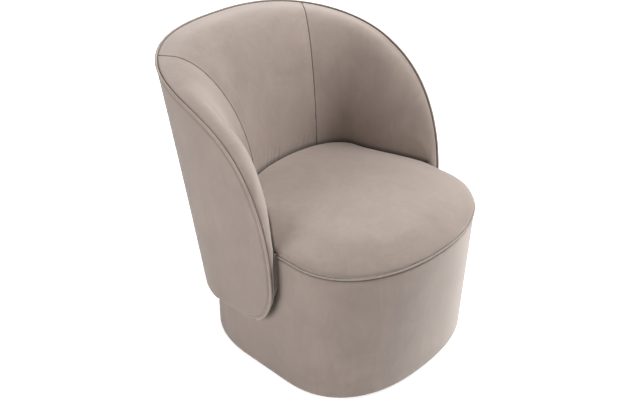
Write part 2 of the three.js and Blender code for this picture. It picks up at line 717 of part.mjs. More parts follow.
function makeBand() {
  const round = BOTTOM_ROUND / 2;
  const levels = [
    [DRUM_BOTTOM, BOTTOM_ROUND],
    [DRUM_BOTTOM + round, BOTTOM_ROUND / 3],
    [DRUM_BOTTOM + BOTTOM_ROUND * 2, 0],
    [(DRUM_BOTTOM + BAND_TOP) / 2, 0],
    [BAND_TOP - round, 0],
    [BAND_TOP, PIPING_INSET],
  ];
  const rings = levels.map(([z, inset]) => drumOutline(z, inset).map((p) => [...p, z]));
  const backs = levels.map(([z]) => drumOutline(z, BAND_COVER).map((p) => [...p, z]));
  add('base_cover', sheetSolid(columnsOf(rings), columnsOf(backs), true), VELVET);

  const front = drumQuarter(SEAM_HEIGHT, PIPING_INSET, true);
  const tail = [ARM_FRONT + PIPING_TAIL, ARM_FRONT].map((y) => [front[0][0], y]);
  const right = [...tail, ...front];
  const left = right.slice(0, -1).reverse().map(([x, y]) => [-x, y]);
  const route = [...right, ...left].map((p) => [...p, PIPING_HEIGHT]);
  add('seat_piping', tube(route, PIPING, OUTLINE_STEPS), PIPED);
}

function makeDustCover() {
  const hole = circleOutline(RACE_OUTER + DUST_HOLE_CLEARANCE, ROUND_STEPS, SWIVEL_SET_BACK);
  const outline = drumOutline(BOARD_BOTTOM, FRAME_INSET);
  add('dust_cover', plate(outline, BOARD_BOTTOM - GAP - SKIN, SKIN, [hole]), LINING);
}

// Shell frame
function drumPrism(outset, top) {
  const levels = [-OVERRUN, top];
  const loops = levels.map((z) => drumOutline(z, -outset).map((p) => [...p, z]));
  const centre = [0, SEAM_FRONT_CENTRE / 2];
  return toManifold(domeSolid(loops, [...centre, -OVERRUN], [...centre, top]));
}

function shellOutline(z, inset, reach) {
  return stationList(-reach, reach).map((station) => wallPoint(station, z, inset).slice(0, 2));
}

// The hollow of the shell, between the outer board and the foam, down to a height
function shellCore(bottom) {
  const stations = stationList(-CORE_REACH_SHARE, CORE_REACH_SHARE);
  const front = stations.map((station) => {
    const rows = paddingRows(station, padDepth(station) + GAP, BOARD_BACK + SOFT_GAP + GAP);
    const last = rows[rows.length - 1];
    return [...rows, [last[0], last[1], bottom]];
  });
  const back = front.map((rows, i) => rows.map((_, j) => {
    const z = mix(rows[0][2], bottom, j / (rows.length - 1));
    return wallPoint(stations[i], z, BOARD_BACK + SOFT_GAP);
  }));
  return toManifold(sheetSolid(front, back));
}

// How deep the foam's back lies under the padding's face: less where the arm is narrow
function padDepth(station) {
  const room = paddingWidth(station) - BOARD_BACK - COVER;
  return COVER + SOFT_GAP + Math.min(PAD, PAD_FILL_SHARE * room);
}

function makeShellFloor() {
  const outline = shellOutline(SHELL_FLOOR, BOARD_BACK, 1);
  const floor = toManifold(plate(outline, SHELL_FLOOR, SHELL_FLOOR_PLY));
  add('shell_floor', fromManifold(floor.subtract(drumPrism(GAP, SEAM_HEIGHT))), PLYWOOD);
  const skinBottom = SHELL_FLOOR - GAP - SKIN;
  const skin = toManifold(plate(shellOutline(skinBottom, BOARD_INSET, 1), skinBottom, SKIN));
  add('shell_lining', fromManifold(skin.subtract(drumPrism(GAP, SEAM_HEIGHT))), LINING);
}

// An upright rib between the outer board and the foam, from a height up to the top rail
function ribSolid(station, bottom) {
  const outer = wallPoint(station, SHELL_TOP);
  const inner = innerFoot(station);
  const height = RAIL_HEIGHT - GAP - bottom;
  const length = Math.hypot(outer[0] - inner[0], outer[1] - inner[1]) * 2;
  const board = new THREE.BoxGeometry(length, RIB_PLY, height);
  board.rotateZ(Math.atan2(outer[1] - inner[1], outer[0] - inner[0]));
  board.translate((outer[0] + inner[0]) / 2, (outer[1] + inner[1]) / 2, bottom + height / 2);
  const keepOut = drumPrism(GAP, TUCK_HEIGHT - GAP);
  return fromManifold(toManifold(outward(board)).intersect(shellCore(bottom)).subtract(keepOut));
}

function makeRibs() {
  const bottom = SHELL_FLOOR + SHELL_FLOOR_PLY + GAP;
  RIB_STATION_SHARES.forEach((station, index) => {
    add(`rib_${index + 1}`, ribSolid(station, bottom), PLYWOOD);
  });
  add('arm_post_left', ribSolid(-ARM_POST_SHARE, TUCK_HEIGHT), SOFTWOOD);
  add('arm_post_right', ribSolid(ARM_POST_SHARE, TUCK_HEIGHT), SOFTWOOD);
}

function makeTopRail() {
  const outer = shellOutline(RAIL_HEIGHT, BOARD_BACK, RAIL_REACH_SHARE);
  const inner = shellOutline(RAIL_HEIGHT, BOARD_BACK + RAIL_WIDTH, RAIL_REACH_SHARE).reverse();
  const rail = toManifold(plate([...outer, ...inner], RAIL_HEIGHT, RAIL_PLY));
  add('top_rail', fromManifold(rail.intersect(shellCore(TUCK_HEIGHT))), PLYWOOD);
}

// A curved board or cover on the shell's outer wall, between two stations
function wallSheet(from, to, depth, thickness, edge, steps) {
  const column = (station, inset) => {
    const [low, high] = [hemHeight(station), rimHeight(station)];
    const rows = [hemHeight(station, edge)];
    for (let j = 1; j < steps; j += 1) rows.push(mix(low, high, j / steps));
    rows.push(rimHeight(station, edge));
    const inOrder = rows.map((z) => Math.min(rows[steps], Math.max(rows[0], z)));
    return inOrder.map((z) => wallPoint(station, z, inset, edge));
  };
  const stations = stationList(from, to);
  const front = stations.map((s) => column(s, depth));
  const back = stations.map((s) => column(s, depth + thickness));
  return sheetSolid(front, back);
}

function makeShellBoards() {
  const split = GAP / ARM_LENGTH;
  const board = (from, to, steps) => wallSheet(from, to, BOARD_INSET, SHELL_BOARD, BOARD_FOOT, steps);
  add('back_board', board(-1 + split, 1 - split, WALL_STEPS), FIBREBOARD);
  add('arm_panel_left', board(-2, -1 - split, 1), PLYWOOD);
  add('arm_panel_right', board(1 + split, 2, 1), PLYWOOD);
}

// A piece of the padding between two stations and two depths
function paddingSheet(from, to, frontDepth, backDepth, edge) {
  const stations = stationList(from, to);
  const front = stations.map((s) => paddingRows(s, frontDepth, edge));
  const back = stations.map((s) => paddingRows(s, backDepth(s), edge));
  return sheetSolid(front, back);
}

// A block beside the drum that carries the arm's panel
function armBlock(side) {
  const stations = stationList(1, ARM_BLOCK_SHARE);
  const bottom = SHELL_FLOOR + SHELL_FLOOR_PLY;
  const rows = [bottom, TUCK_HEIGHT - GAP];
  const outer = stations.map((s) => rows.map((z) => wallPoint(side * s, z, BOARD_BACK + GAP)));
  const inner = outer.map((row) => row.map(([, y, z]) => [side * (drumSize(z, 0).half + GAP), y, z]));
  return sheetSolid(outer, inner);
}

function makeArmBlocks() {
  add('arm_block_left', armBlock(-1), SOFTWOOD);
  add('arm_block_right', armBlock(1), SOFTWOOD);
}

function makePads() {
  const rim = BOARD_BACK + GAP;
  const split = GAP / INNER_HALF_WIDTH;
  const front = sideStations().filter((station) => paddingWidth(station) >= LEAST_PAD_WIDTH).pop();
  const depth = COVER + SOFT_GAP;
  const spans = {
    back_pad: [-PANEL_SEAM_SHARE + split, PANEL_SEAM_SHARE - split],
    arm_pad_left: [-front, -PANEL_SEAM_SHARE - split],
    arm_pad_right: [PANEL_SEAM_SHARE + split, front],
  };
  for (const [name, [from, to]] of Object.entries(spans)) {
    add(name, paddingSheet(from, to, depth, padDepth, rim), FOAM);
  }
}

// The route round the arm's front edge: down from a station on the rim, round the corner and back
function armEdge(from) {
  const path = [];
  for (let i = 0; i <= ARM_STEPS; i += 1) path.push([mix(from, 2, i / ARM_STEPS), rimHeight]);
  for (let i = 1; i <= ARM_STEPS; i += 1) path.push([mix(2, 1, i / ARM_STEPS), hemHeight]);
  return path;
}

// The padded strip that closes the arm's front edge, below the inner cover: it stands off the drum at
// the nose and comes up to it under the arm
function facingSolid(side, top) {
  const row = (edge) => armEdge(top).map(([station, height]) => {
    const z = height(station, edge);
    const outer = wallPoint(station, z, RIM_EDGE, edge);
    const back = Math.min(1, (outer[1] - ARM_FRONT) / CORNER_DEPTH);
    const inner = drumSize(z, 0).half + mix(NOSE_GAP, CREVICE, back);
    return [[side * outer[0], outer[1], z], [side * inner, outer[1], z]];
  });
  return sheetSolid(row(0), row(FACING));
}

function makeShellCovers() {
  const split = GAP / INNER_HALF_WIDTH;
  const front = lastStation((station) => rimHeight(station) >= TUCK_HEIGHT + LEAST_ROLL / 4 + COVER);
  const spans = {
    inner_cover_centre: [-PANEL_SEAM_SHARE + split, PANEL_SEAM_SHARE - split],
    inner_cover_left: [-front, -PANEL_SEAM_SHARE - split],
    inner_cover_right: [PANEL_SEAM_SHARE + split, front],
  };
  for (const [name, [from, to]] of Object.entries(spans)) {
    add(name, paddingSheet(from, to, 0, () => COVER, RIM_EDGE), VELVET);
  }
  const facingTop = lastStation((station) => rimHeight(station) >= TUCK_HEIGHT - GAP);
  add('arm_facing_left', facingSolid(-1, facingTop), VELVET);
  add('arm_facing_right', facingSolid(1, facingTop), VELVET);
  add('outer_cover', wallSheet(-2, 2, 0, COVER, PIPING + GAP, WALL_STEPS), VELVET);

  const rim = stationList(0, 2).map((station) => [station, rimHeight]);
  const right = [...rim, ...armEdge(2).slice(ARM_STEPS + 1, -ARM_STEPS / 2)];
  const half = right.map(([station, height]) => wallPoint(station, height(station), PIPING_INSET));
  const route = [...half.slice(1).reverse().map(([x, y, z]) => [-x, y, z]), ...half];
  add('rim_piping', tube(route, PIPING, OUTLINE_STEPS * 3 / 2), PIPED);
}

makeGlides();
makeFloorPlate();
makeSwivel();
makeDrumFrame();
makeWebbing();
makeSeat();
makeBand();
makeDustCover();
makeShellFloor();
makeRibs();
makeTopRail();
makeShellBoards();
makeArmBlocks();
makePads();
makeShellCovers();

export default chair;
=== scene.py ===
"""Looks of a swivel tub armchair: its velvet, cushions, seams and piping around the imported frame.

Sizes are in millimetres, with the origin in the middle of the seat drum, until a mesh is made. A mesh is in
metres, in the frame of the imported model, whose swivel axis stands behind the drum's own middle.
"""

import json
import math

import bpy
import numpy as np
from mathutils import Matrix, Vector


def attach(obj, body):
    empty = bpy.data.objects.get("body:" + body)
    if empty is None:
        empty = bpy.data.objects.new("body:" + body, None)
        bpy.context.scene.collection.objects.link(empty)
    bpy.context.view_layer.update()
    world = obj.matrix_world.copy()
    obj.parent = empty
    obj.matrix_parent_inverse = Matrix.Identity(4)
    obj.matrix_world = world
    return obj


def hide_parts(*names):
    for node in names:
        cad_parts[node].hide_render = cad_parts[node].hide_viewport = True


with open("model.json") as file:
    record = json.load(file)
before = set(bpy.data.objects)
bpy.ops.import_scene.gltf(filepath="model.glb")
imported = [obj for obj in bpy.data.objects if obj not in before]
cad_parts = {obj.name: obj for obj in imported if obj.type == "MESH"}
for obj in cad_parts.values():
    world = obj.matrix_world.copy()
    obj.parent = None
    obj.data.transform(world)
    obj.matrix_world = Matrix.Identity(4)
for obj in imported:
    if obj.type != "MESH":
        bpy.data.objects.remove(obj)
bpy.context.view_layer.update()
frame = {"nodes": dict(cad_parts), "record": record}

MM = 0.001
HALF_TURN = math.pi
QUARTER = math.pi / 2
UP = np.array((0.0, 0.0, 1.0))
DOWN = -UP

# Drum and seat, with the CAD's sizes
DRUM_BOTTOM = 12.0
SEAM_HEIGHT = 390.0
SEAM_HALF_WIDTH = 285.5
DRUM_TAPER = 4.0
FOOT_HALF_WIDTH = SEAM_HALF_WIDTH + DRUM_TAPER
FOOT_FRONT_CENTRE = -131.7
FOOT_FRONT_REACH = 221.3
FOOT_SQUARENESS = 2.4
SEAM_FRONT_CENTRE = -173.0
SEAM_FRONT_REACH = 204.0
SEAM_SQUARENESS = 2.15
DRUM_REAR_REACH = 258.0
SEAT_CROWN = 40.0
CROWN_ROUND = 2.6
CROWN_FULLNESS = 1.7
CROWN_EDGE = 1.5
SWIVEL_SET_BACK = 20.3

# Shell, with the CAD's sizes: each curve has its half width, its reach to the rear and its squareness
SHELL_BOTTOM = 169.0
SHELL_TOP = 762.3
SHELL_CENTRE = 73.0
BOTTOM_CURVE = (311.4, 244.7, 1.8)
TOP_CURVE = (332.7, 344.1, 2.5)
INNER_CURVE = (194.0, 85.5, 2.1)
INNER_HALF_WIDTH = INNER_CURVE[0]
ARM_FRONT = -121.8
ARM_LENGTH = SHELL_CENTRE - ARM_FRONT
CORNER_DEPTH = 116.5
CORNER_HEIGHT = 140.2
CORNER_CENTRE = ARM_FRONT + CORNER_DEPTH
ARM_NOSE = 10.1
RIM_SLOPE = 0.169
RIM_POWER = 5.27
RIM_DROP = SHELL_TOP - RIM_SLOPE * (TOP_CURVE[1] + ARM_LENGTH) - (SHELL_BOTTOM + CORNER_HEIGHT + ARM_NOSE)

# Covers, piping and padding, with the CAD's sizes
GAP = 0.3
COVER = 4.0
BAND_COVER = 8.0
PIPING = 2.8
PIPING_INSET = 1.2
PIPING_HEIGHT = SEAM_HEIGHT - PIPING / 2
BAND_TOP = PIPING_HEIGHT - PIPING - GAP
COVER_BOTTOM = PIPING_HEIGHT + PIPING + GAP
RIM_EDGE = PIPING_INSET + PIPING + GAP
INNER_HEIGHT = 430.0
TUCK_HEIGHT = 393.0
ARM_FLARE_POWER = 1.4
LEAST_ROLL = 40.0
CREVICE = 4.0
FLAT_RIM = 0.15
PANEL_SEAM = 0.50
SEAM_LEAN = 0.11
SEAM_SPREAD = 0.06
SEAM_DIP = 5.0
PAD = 40.0
PAD_FILL = 0.5
BOARD_BACK = 9.1
SOFT_GAP = 0.5
NARROW_PAD = 50.0
NARROW_PAD_RUN = 30.0

# Roll and nose of the arm, a little fuller than the CAD's
NOSE_GAP = 11.0
ROLL_POWER = 1.17


def smooth(value):
    """A soft step from 0 to 1 over the values from 0 to 1."""
    value = np.clip(value, 0.0, 1.0)
    return value * value * (3 - 2 * value)


# Surfaces of the shell
def curve_point(curve, station, inset=0.0, front_inset=0.0):
    """Plan point of a shell curve: station 0 at the rear middle, 1 at the side, 2 at the arm's front edge."""
    half, rear, square = curve
    station = np.asarray(station, float)
    run = np.abs(station)
    turn = np.minimum(run, 1) * QUARTER
    round_x = (half - inset) * np.sin(turn) ** (2 / square)
    round_y = SHELL_CENTRE + (rear - inset) * np.maximum(0, np.cos(turn)) ** (2 / square)
    straight_y = SHELL_CENTRE - (ARM_LENGTH - front_inset) * np.sin((run - 1) * QUARTER)
    x = np.where(run <= 1, round_x, half - inset)
    return np.sign(station) * x, np.where(run <= 1, round_y, straight_y)


def wall_point(station, z, inset=0.0, front_inset=0.0):
    """Point of the shell's wall, which leans from its bottom curve out to its top curve."""
    low_x, low_y = curve_point(BOTTOM_CURVE, station, inset, front_inset)
    high_x, high_y = curve_point(TOP_CURVE, station, inset, front_inset)
    share = (z - SHELL_BOTTOM) / (SHELL_TOP - SHELL_BOTTOM)
    x = low_x + (high_x - low_x) * share
    y = low_y + (high_y - low_y) * share
    return np.stack(np.broadcast_arrays(x, y, z), -1)


def rim_height(station, inset=0.0):
    """Height of the shell's upper edge, which falls away over the front of the arm."""
    _, y = curve_point(TOP_CURVE, station, 0, inset)
    back = SHELL_CENTRE + TOP_CURVE[1] - y
    reach = SHELL_CENTRE + TOP_CURVE[1] - ARM_FRONT - inset
    fall = np.minimum(1, back / reach) ** RIM_POWER
    return SHELL_TOP - inset - RIM_SLOPE * back - RIM_DROP * (1 - np.sqrt(np.maximum(0, 1 - fall)))


def hem_height(station, inset=0.0):
    """Height of the shell's lower edge, which rises in a quarter round under the front of the arm."""
    _, y = curve_point(TOP_CURVE, station, 0, inset)
    share = np.clip((CORNER_CENTRE - y) / (CORNER_DEPTH - inset), 0, 1)
    return SHELL_BOTTOM + CORNER_HEIGHT - (CORNER_HEIGHT - inset) * np.sqrt(1 - share * share)


def arm_face(y):
    """How far out the padding's inner face stands over the seat at a depth along the arm."""
    nose = SEAM_HALF_WIDTH + NOSE_GAP
    share = np.clip((y - ARM_FRONT) / ARM_LENGTH, 0, 1)
    return nose - (nose - INNER_HALF_WIDTH) * np.sin(share * QUARTER) ** ARM_FLARE_POWER


def inner_foot(station, outset=0.0):
    """Plan point where the padding meets the seat."""
    station = np.asarray(station, float)
    run = np.abs(station)
    lean = SEAM_LEAN * np.sin(HALF_TURN * np.minimum(run, 1))
    round_x, round_y = curve_point(INNER_CURVE, np.sign(station) * (np.minimum(run, 1) - lean), -outset)
    _, y = curve_point(INNER_CURVE, station)
    x = np.sign(station) * (arm_face(y) + outset)
    return np.where(run <= 1, round_x, x), np.where(run <= 1, round_y, y)


def drum_half(z):
    """Half width of the drum's straight side at a height."""
    share = (z - DRUM_BOTTOM) / (SEAM_HEIGHT - DRUM_BOTTOM)
    return FOOT_HALF_WIDTH + (SEAM_HALF_WIDTH - FOOT_HALF_WIDTH) * share


def drum_point(place, z, inset=0.0):
    """Point of the drum's wall: place 0 is the rear middle, 1 and 2 end the straight side, 3 is in front."""
    place = np.mod(np.asarray(place, float), 6)
    side = np.where(place <= 3, 1.0, -1.0)
    place = np.where(place <= 3, place, 6 - place)
    forward = place > 1
    corner = np.where(forward, np.maximum(0, place - 2), 1 - place) * QUARTER
    straight = np.clip(2 - place, 0, 1)
    wide, narrow = np.maximum(0, np.cos(corner)), np.maximum(0, np.sin(corner))
    share = (z - DRUM_BOTTOM) / (SEAM_HEIGHT - DRUM_BOTTOM)
    ends = []
    for half, centre, reach, square in (
        (FOOT_HALF_WIDTH, FOOT_FRONT_CENTRE, FOOT_FRONT_REACH, FOOT_SQUARENESS),
        (SEAM_HALF_WIDTH, SEAM_FRONT_CENTRE, SEAM_FRONT_REACH, SEAM_SQUARENESS),
    ):
        rear_square = np.where(forward, square, FOOT_SQUARENESS)
        x = (half - inset) * wide ** (2 / rear_square)
        front_y = centre * (1 - straight) - (reach - inset) * narrow ** (2 / rear_square)
        rear_y = (DRUM_REAR_REACH - inset) * narrow ** (2 / rear_square)
        ends.append((x, np.where(forward, front_y, rear_y)))
    x = ends[0][0] + (ends[1][0] - ends[0][0]) * share
    y = ends[0][1] + (ends[1][1] - ends[0][1]) * share
    return np.stack(np.broadcast_arrays(side * x, y, z), -1)


def drum_spread(x, y):
    """Share of the way from the middle of the seat to the drum's seam."""
    along = np.where(y > 0, y / DRUM_REAR_REACH, 0)
    along = np.where(y < SEAM_FRONT_CENTRE, (SEAM_FRONT_CENTRE - y) / SEAM_FRONT_REACH, along)
    total = np.abs(x / SEAM_HALF_WIDTH) ** SEAM_SQUARENESS + along**SEAM_SQUARENESS
    return np.minimum(1, total ** (1 / SEAM_SQUARENESS))


def crown_height(x, y):
    """Height of the crowned seat."""
    rest = np.maximum(0, 1 - drum_spread(x, y) ** CROWN_ROUND)
    return COVER_BOTTOM + CROWN_EDGE + SEAT_CROWN * rest ** (1 / CROWN_FULLNESS)


# Lines and grids
def along(points):
    """Running length of a line of points."""
    steps = np.linalg.norm(np.diff(points, axis=0), axis=1)
    return np.concatenate([[0], np.cumsum(steps)])


def resample(points, marks):
    """The points of a line at the given shares of its length."""
    length = along(points)
    return np.stack([np.interp(marks * length[-1], length, points[:, k]) for k in range(3)], -1)


def normals_of(grid):
    """Unit normals of a grid of points, from its neighbours."""
    across = np.gradient(grid, axis=0)
    down = np.gradient(grid, axis=1)
    normal = np.cross(across, down)
    return normal / np.maximum(np.linalg.norm(normal, axis=-1, keepdims=True), 1e-9)


def nearest(points, line):
    """Distance from each point to the nearest point of a finely drawn line."""
    flat = points.reshape(-1, 3)
    found = np.full(len(flat), np.inf)
    batch = 64
    for start in range(0, len(line), batch):
        part = line[start : start + batch]
        gap = np.linalg.norm(flat[:, None, :] - part[None], axis=2).min(1)
        found = np.minimum(found, gap)
    return found.reshape(points.shape[:-1])


def grid_faces(columns, rows, offset=0, closed=False, flip=False):
    """Faces between the points of a grid, which is closed when its last column joins its first."""
    spans = columns if closed else columns - 1
    faces = []
    for i in range(spans):
        a, b = offset + i * rows, offset + ((i + 1) % columns) * rows
        for j in range(rows - 1):
            quad = (a + j, b + j, b + j + 1, a + j + 1)
            faces.append(quad[::-1] if flip else quad)
    return faces


def thick_sheet(front, back, closed=False):
    """Points and faces of a closed form between two grids of the same size."""
    columns, rows = front.shape[:2]
    points = np.concatenate([front.reshape(-1, 3), back.reshape(-1, 3)])
    base = columns * rows
    faces = grid_faces(columns, rows, 0, closed) + grid_faces(columns, rows, base, closed, True)
    spans = columns if closed else columns - 1
    for i in range(spans):
        a, b = i * rows, ((i + 1) % columns) * rows
        faces.append((a, base + a, base + b, b))
        last = rows - 1
        faces.append((b + last, base + b + last, base + a + last, a + last))
    if not closed:
        for j in range(rows - 1):
            faces.append((j, j + 1, base + j + 1, base + j))
            end = (columns - 1) * rows
            faces.append((end + j + 1, end + j, base + end + j, base + end + j + 1))
    return points, faces


def add_object(name, data):
    made = bpy.data.objects.new(name, data)
    bpy.context.scene.collection.objects.link(made)
    return made


def make_piece(name, points, faces, material):
    """A mesh object in metres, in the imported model's frame, that rides on the chair."""
    mesh = bpy.data.meshes.new(name)
    placed = (np.asarray(points) - (0, SWIVEL_SET_BACK, 0)) * MM
    mesh.from_pydata(placed.tolist(), [], [tuple(int(k) for k in face) for face in faces])
    mesh.update()
    piece = add_object(name, mesh)
    bpy.context.view_layer.objects.active = piece
    for other in bpy.context.selected_objects:
        other.select_set(False)
    piece.select_set(True)
    bpy.ops.object.mode_set(mode="EDIT")
    bpy.ops.mesh.select_all(action="SELECT")
    bpy.ops.mesh.normals_make_consistent(inside=False)
    bpy.ops.object.mode_set(mode="OBJECT")
    mesh.polygons.foreach_set("use_smooth", [True] * len(mesh.polygons))
    mesh.materials.append(material)
    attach(piece, "chair")
    return piece


# Materials
def node_material(name):
    material = bpy.data.materials.new(name)
    material.use_nodes = True
    tree = material.node_tree
    return material, tree, tree.nodes["Principled BSDF"]


def noise_node(tree, scale, detail=3.0, roughness=0.5, stretch=None, distortion=0.0):
    place = tree.nodes.new("ShaderNodeTexCoord")
    source = place.outputs["Object"]
    if stretch is not None:
        mapping = tree.nodes.new("ShaderNodeMapping")
        mapping.inputs["Scale"].default_value = stretch
        tree.links.new(source, mapping.inputs["Vector"])
        source = mapping.outputs["Vector"]
    made = tree.nodes.new("ShaderNodeTexNoise")
    made.inputs["Scale"].default_value = scale
    made.inputs["Detail"].default_value = detail
    made.inputs["Roughness"].default_value = roughness
    made.inputs["Distortion"].default_value = distortion
    tree.links.new(source, made.inputs["Vector"])
    return made.outputs["Fac"]


def ramp_node(tree, factor, stops):
    made = tree.nodes.new("ShaderNodeValToRGB")
    elements = made.color_ramp.elements
    while len(elements) < len(stops):
        elements.new(0.5)
    for element, (place, colour) in zip(elements, stops):
        element.position = place
        element.color = (*colour, 1.0)
    tree.links.new(factor, made.inputs["Fac"])
    return made.outputs["Color"]


def mix_node(tree, mode, factor, first, second):
    made = tree.nodes.new("ShaderNodeMix")
    made.data_type = "RGBA"
    made.blend_type = mode
    made.inputs["Factor"].default_value = factor
    tree.links.new(first, made.inputs[6])
    tree.links.new(second, made.inputs[7])
    return made.outputs[2]


def math_node(tree, operation, first, second):
    """A sum, a product or the like of an output and either a number or another output."""
    made = tree.nodes.new("ShaderNodeMath")
    made.operation = operation
    tree.links.new(first, made.inputs[0])
    if isinstance(second, float):
        made.inputs[1].default_value = second
    else:
        tree.links.new(second, made.inputs[1])
    return made.outputs[0]


def bump_node(tree, height, strength, distance, base=None):
    made = tree.nodes.new("ShaderNodeBump")
    made.inputs["Strength"].default_value = strength
    made.inputs["Distance"].default_value = distance
    tree.links.new(height, made.inputs["Height"])
    if base is not None:
        tree.links.new(base, made.inputs["Normal"])
    return made.outputs["Normal"]


def shades(colour, *amounts):
    return [tuple(min(1.0, channel * amount) for channel in colour) for amount in amounts]


def layered(tree, colour, factor, low, places=(0.3, 0.7)):
    """Darkens a colour, down to a low share of it, where a texture, or the painted crease shade, is dark."""
    share = ramp_node(tree, factor, [(places[0], (low, low, low)), (places[1], (1.0, 1.0, 1.0))])
    return mix_node(tree, "MULTIPLY", 1.0, colour, share)


# How far the painted shade in seams and folds looks for nearby surfaces, in metres
CREASE_SHADE_REACH = 0.016


def crease_shade_node(tree):
    """Painted shade: how open a place is to the air, low in a seam or a fold, where the velvet's colour is
    darkened to stand in for the shade that falls there.
    """
    made = tree.nodes.new("ShaderNodeAmbientOcclusion")
    made.samples = 8
    made.inputs["Distance"].default_value = CREASE_SHADE_REACH
    return made.outputs["AO"]


def velvet(name, base):
    """Short-pile velvet: brushed patches and streaks, fine pile, painted shade in seams and folds, and a pale
    sheen at grazing angles.
    """
    material, tree, shader = node_material(name)
    dark, light = shades(base, 0.92, 1.06)
    cloud = noise_node(tree, scale=9.0, detail=5.0, roughness=0.55, distortion=0.8)
    colour = ramp_node(tree, cloud, [(0.32, dark), (0.68, light)])
    drawn_out = (1.0, 1.0, 0.32)
    streak = noise_node(tree, scale=34.0, detail=5.0, roughness=0.62, stretch=drawn_out, distortion=1.4)
    colour = layered(tree, colour, streak, low=0.91)
    # Painted shade: the colour darkens in seams, folds and crevices, where little is open to the air
    colour = layered(tree, colour, crease_shade_node(tree), low=0.08, places=(0.12, 0.88))
    pile = noise_node(tree, scale=1100.0, detail=2.0, roughness=0.6)
    colour = layered(tree, colour, pile, low=0.86, places=(0.25, 0.75))
    tree.links.new(colour, shader.inputs["Base Color"])
    shader.inputs["Roughness"].default_value = 0.95
    shader.inputs["Specular IOR Level"].default_value = 0.15
    shader.inputs["Sheen Weight"].default_value = 1.0
    shader.inputs["Sheen Roughness"].default_value = 0.5
    shader.inputs["Sheen Tint"].default_value = (1.0, 0.935, 0.875, 1.0)
    brushed = bump_node(tree, streak, strength=0.25, distance=0.0012)
    piled = bump_node(tree, pile, strength=0.35, distance=0.0004, base=brushed)
    tree.links.new(piled, shader.inputs["Normal"])
    return material


def timber(name, base, bands, along_grain):
    """Planed wood: rings drawn out along the grain, darker late wood and fine pores."""
    material, tree, shader = node_material(name)
    dark, light = shades(base, 0.72, 1.12)
    grain = noise_node(tree, bands, detail=4.0, roughness=0.55, stretch=along_grain, distortion=2.2)
    colour = ramp_node(tree, grain, [(0.36, dark), (0.62, light)])
    pores = noise_node(tree, scale=420.0, roughness=0.6, stretch=along_grain)
    tree.links.new(layered(tree, colour, pores, low=0.82), shader.inputs["Base Color"])
    shader.inputs["Roughness"].default_value = 0.68
    tree.links.new(bump_node(tree, pores, strength=0.3, distance=0.0004), shader.inputs["Normal"])
    return material


def hardboard(name, base):
    """Pressed fibreboard: brown with a fine speckle of fibres."""
    material, tree, shader = node_material(name)
    dark, light = shades(base, 0.7, 1.3)
    fibres = noise_node(tree, scale=260.0, detail=5.0, roughness=0.7, distortion=1.5)
    tree.links.new(ramp_node(tree, fibres, [(0.3, dark), (0.7, light)]), shader.inputs["Base Color"])
    shader.inputs["Roughness"].default_value = 0.6
    tree.links.new(bump_node(tree, fibres, strength=0.25, distance=0.0003), shader.inputs["Normal"])
    return material


def wave_node(tree, scale, direction):
    place = tree.nodes.new("ShaderNodeTexCoord")
    made = tree.nodes.new("ShaderNodeTexWave")
    made.bands_direction = direction
    made.inputs["Scale"].default_value = scale
    tree.links.new(place.outputs["Object"], made.inputs["Vector"])
    return made.outputs["Fac"]


def woven(name, base, pitch, depth):
    """Woven or bonded cloth: two crossing sets of threads."""
    material, tree, shader = node_material(name)
    dark, light = shades(base, 0.55, 1.5)
    threads = math_node(tree, "MULTIPLY", wave_node(tree, pitch, "X"), wave_node(tree, pitch, "Y"))
    tree.links.new(ramp_node(tree, threads, [(0.1, dark), (0.8, light)]), shader.inputs["Base Color"])
    shader.inputs["Roughness"].default_value = 0.92
    shader.inputs["Sheen Weight"].default_value = 0.2
    tree.links.new(bump_node(tree, threads, strength=0.5, distance=depth), shader.inputs["Normal"])
    return material


def coated(name, base, roughness, metallic, grain):
    """Powder coat, zinc or moulded nylon: a fine texture in its gloss, its shade and its surface."""
    material, tree, shader = node_material(name)
    dark, light = shades(base, 0.86, 1.12)
    texture = noise_node(tree, grain, roughness=0.55)
    tree.links.new(ramp_node(tree, texture, [(0.3, dark), (0.7, light)]), shader.inputs["Base Color"])
    gloss = tree.nodes.new("ShaderNodeMapRange")
    gloss.inputs["To Min"].default_value = roughness * 0.85
    gloss.inputs["To Max"].default_value = roughness * 1.15
    tree.links.new(texture, gloss.inputs["Value"])
    tree.links.new(gloss.outputs["Result"], shader.inputs["Roughness"])
    shader.inputs["Metallic"].default_value = metallic
    tree.links.new(bump_node(tree, texture, strength=0.3, distance=0.0002), shader.inputs["Normal"])
    return material


VELVET = velvet("taupe_velvet", (0.398, 0.318, 0.277))
# Painted highlight: the piping is the same velvet with a lighter colour, standing in for the light that the
# thin round cord catches
PIPED = velvet("piping_velvet_painted_light", (0.465, 0.380, 0.336))
KEPT_FINISHES = {
    "plywood": timber("raw_plywood", (0.58, 0.40, 0.22), 14.0, (1.0, 0.12, 1.0)),
    "softwood": timber("planed_softwood", (0.66, 0.49, 0.29), 30.0, (1.0, 1.0, 0.08)),
    "fibreboard": hardboard("bent_hardboard", (0.25, 0.15, 0.08)),
    "webbing": woven("webbing_weave", (0.030, 0.030, 0.032), 420.0, 0.0008),
    "lining": woven("dust_cloth", (0.016, 0.016, 0.017), 900.0, 0.0003),
    "pressed_steel": coated("powder_coat", (0.070, 0.072, 0.078), 0.50, 0.0, 700.0),
    "bright_steel": coated("zinc_plate", (0.48, 0.49, 0.51), 0.32, 1.0, 300.0),
    "nylon": coated("black_nylon", (0.017, 0.017, 0.018), 0.45, 0.0, 500.0),
}


def finish_kept_nodes():
    """Gives the solids that stay in sight their own materials."""
    for row in frame["record"]["subparts"]:
        finish = KEPT_FINISHES.get(row["material_slot"])
        if finish is not None:
            slots = frame["nodes"][row["node"]].data.materials
            slots.clear()
            slots.append(finish)


finish_kept_nodes()


# Padding
def padding_width(station):
    """How wide the padding is in plan, from the shell's rim to the seat."""
    rim = wall_point(station, rim_height(station))
    foot_x, foot_y = inner_foot(station)
    return np.hypot(rim[..., 0] - foot_x, rim[..., 1] - foot_y)


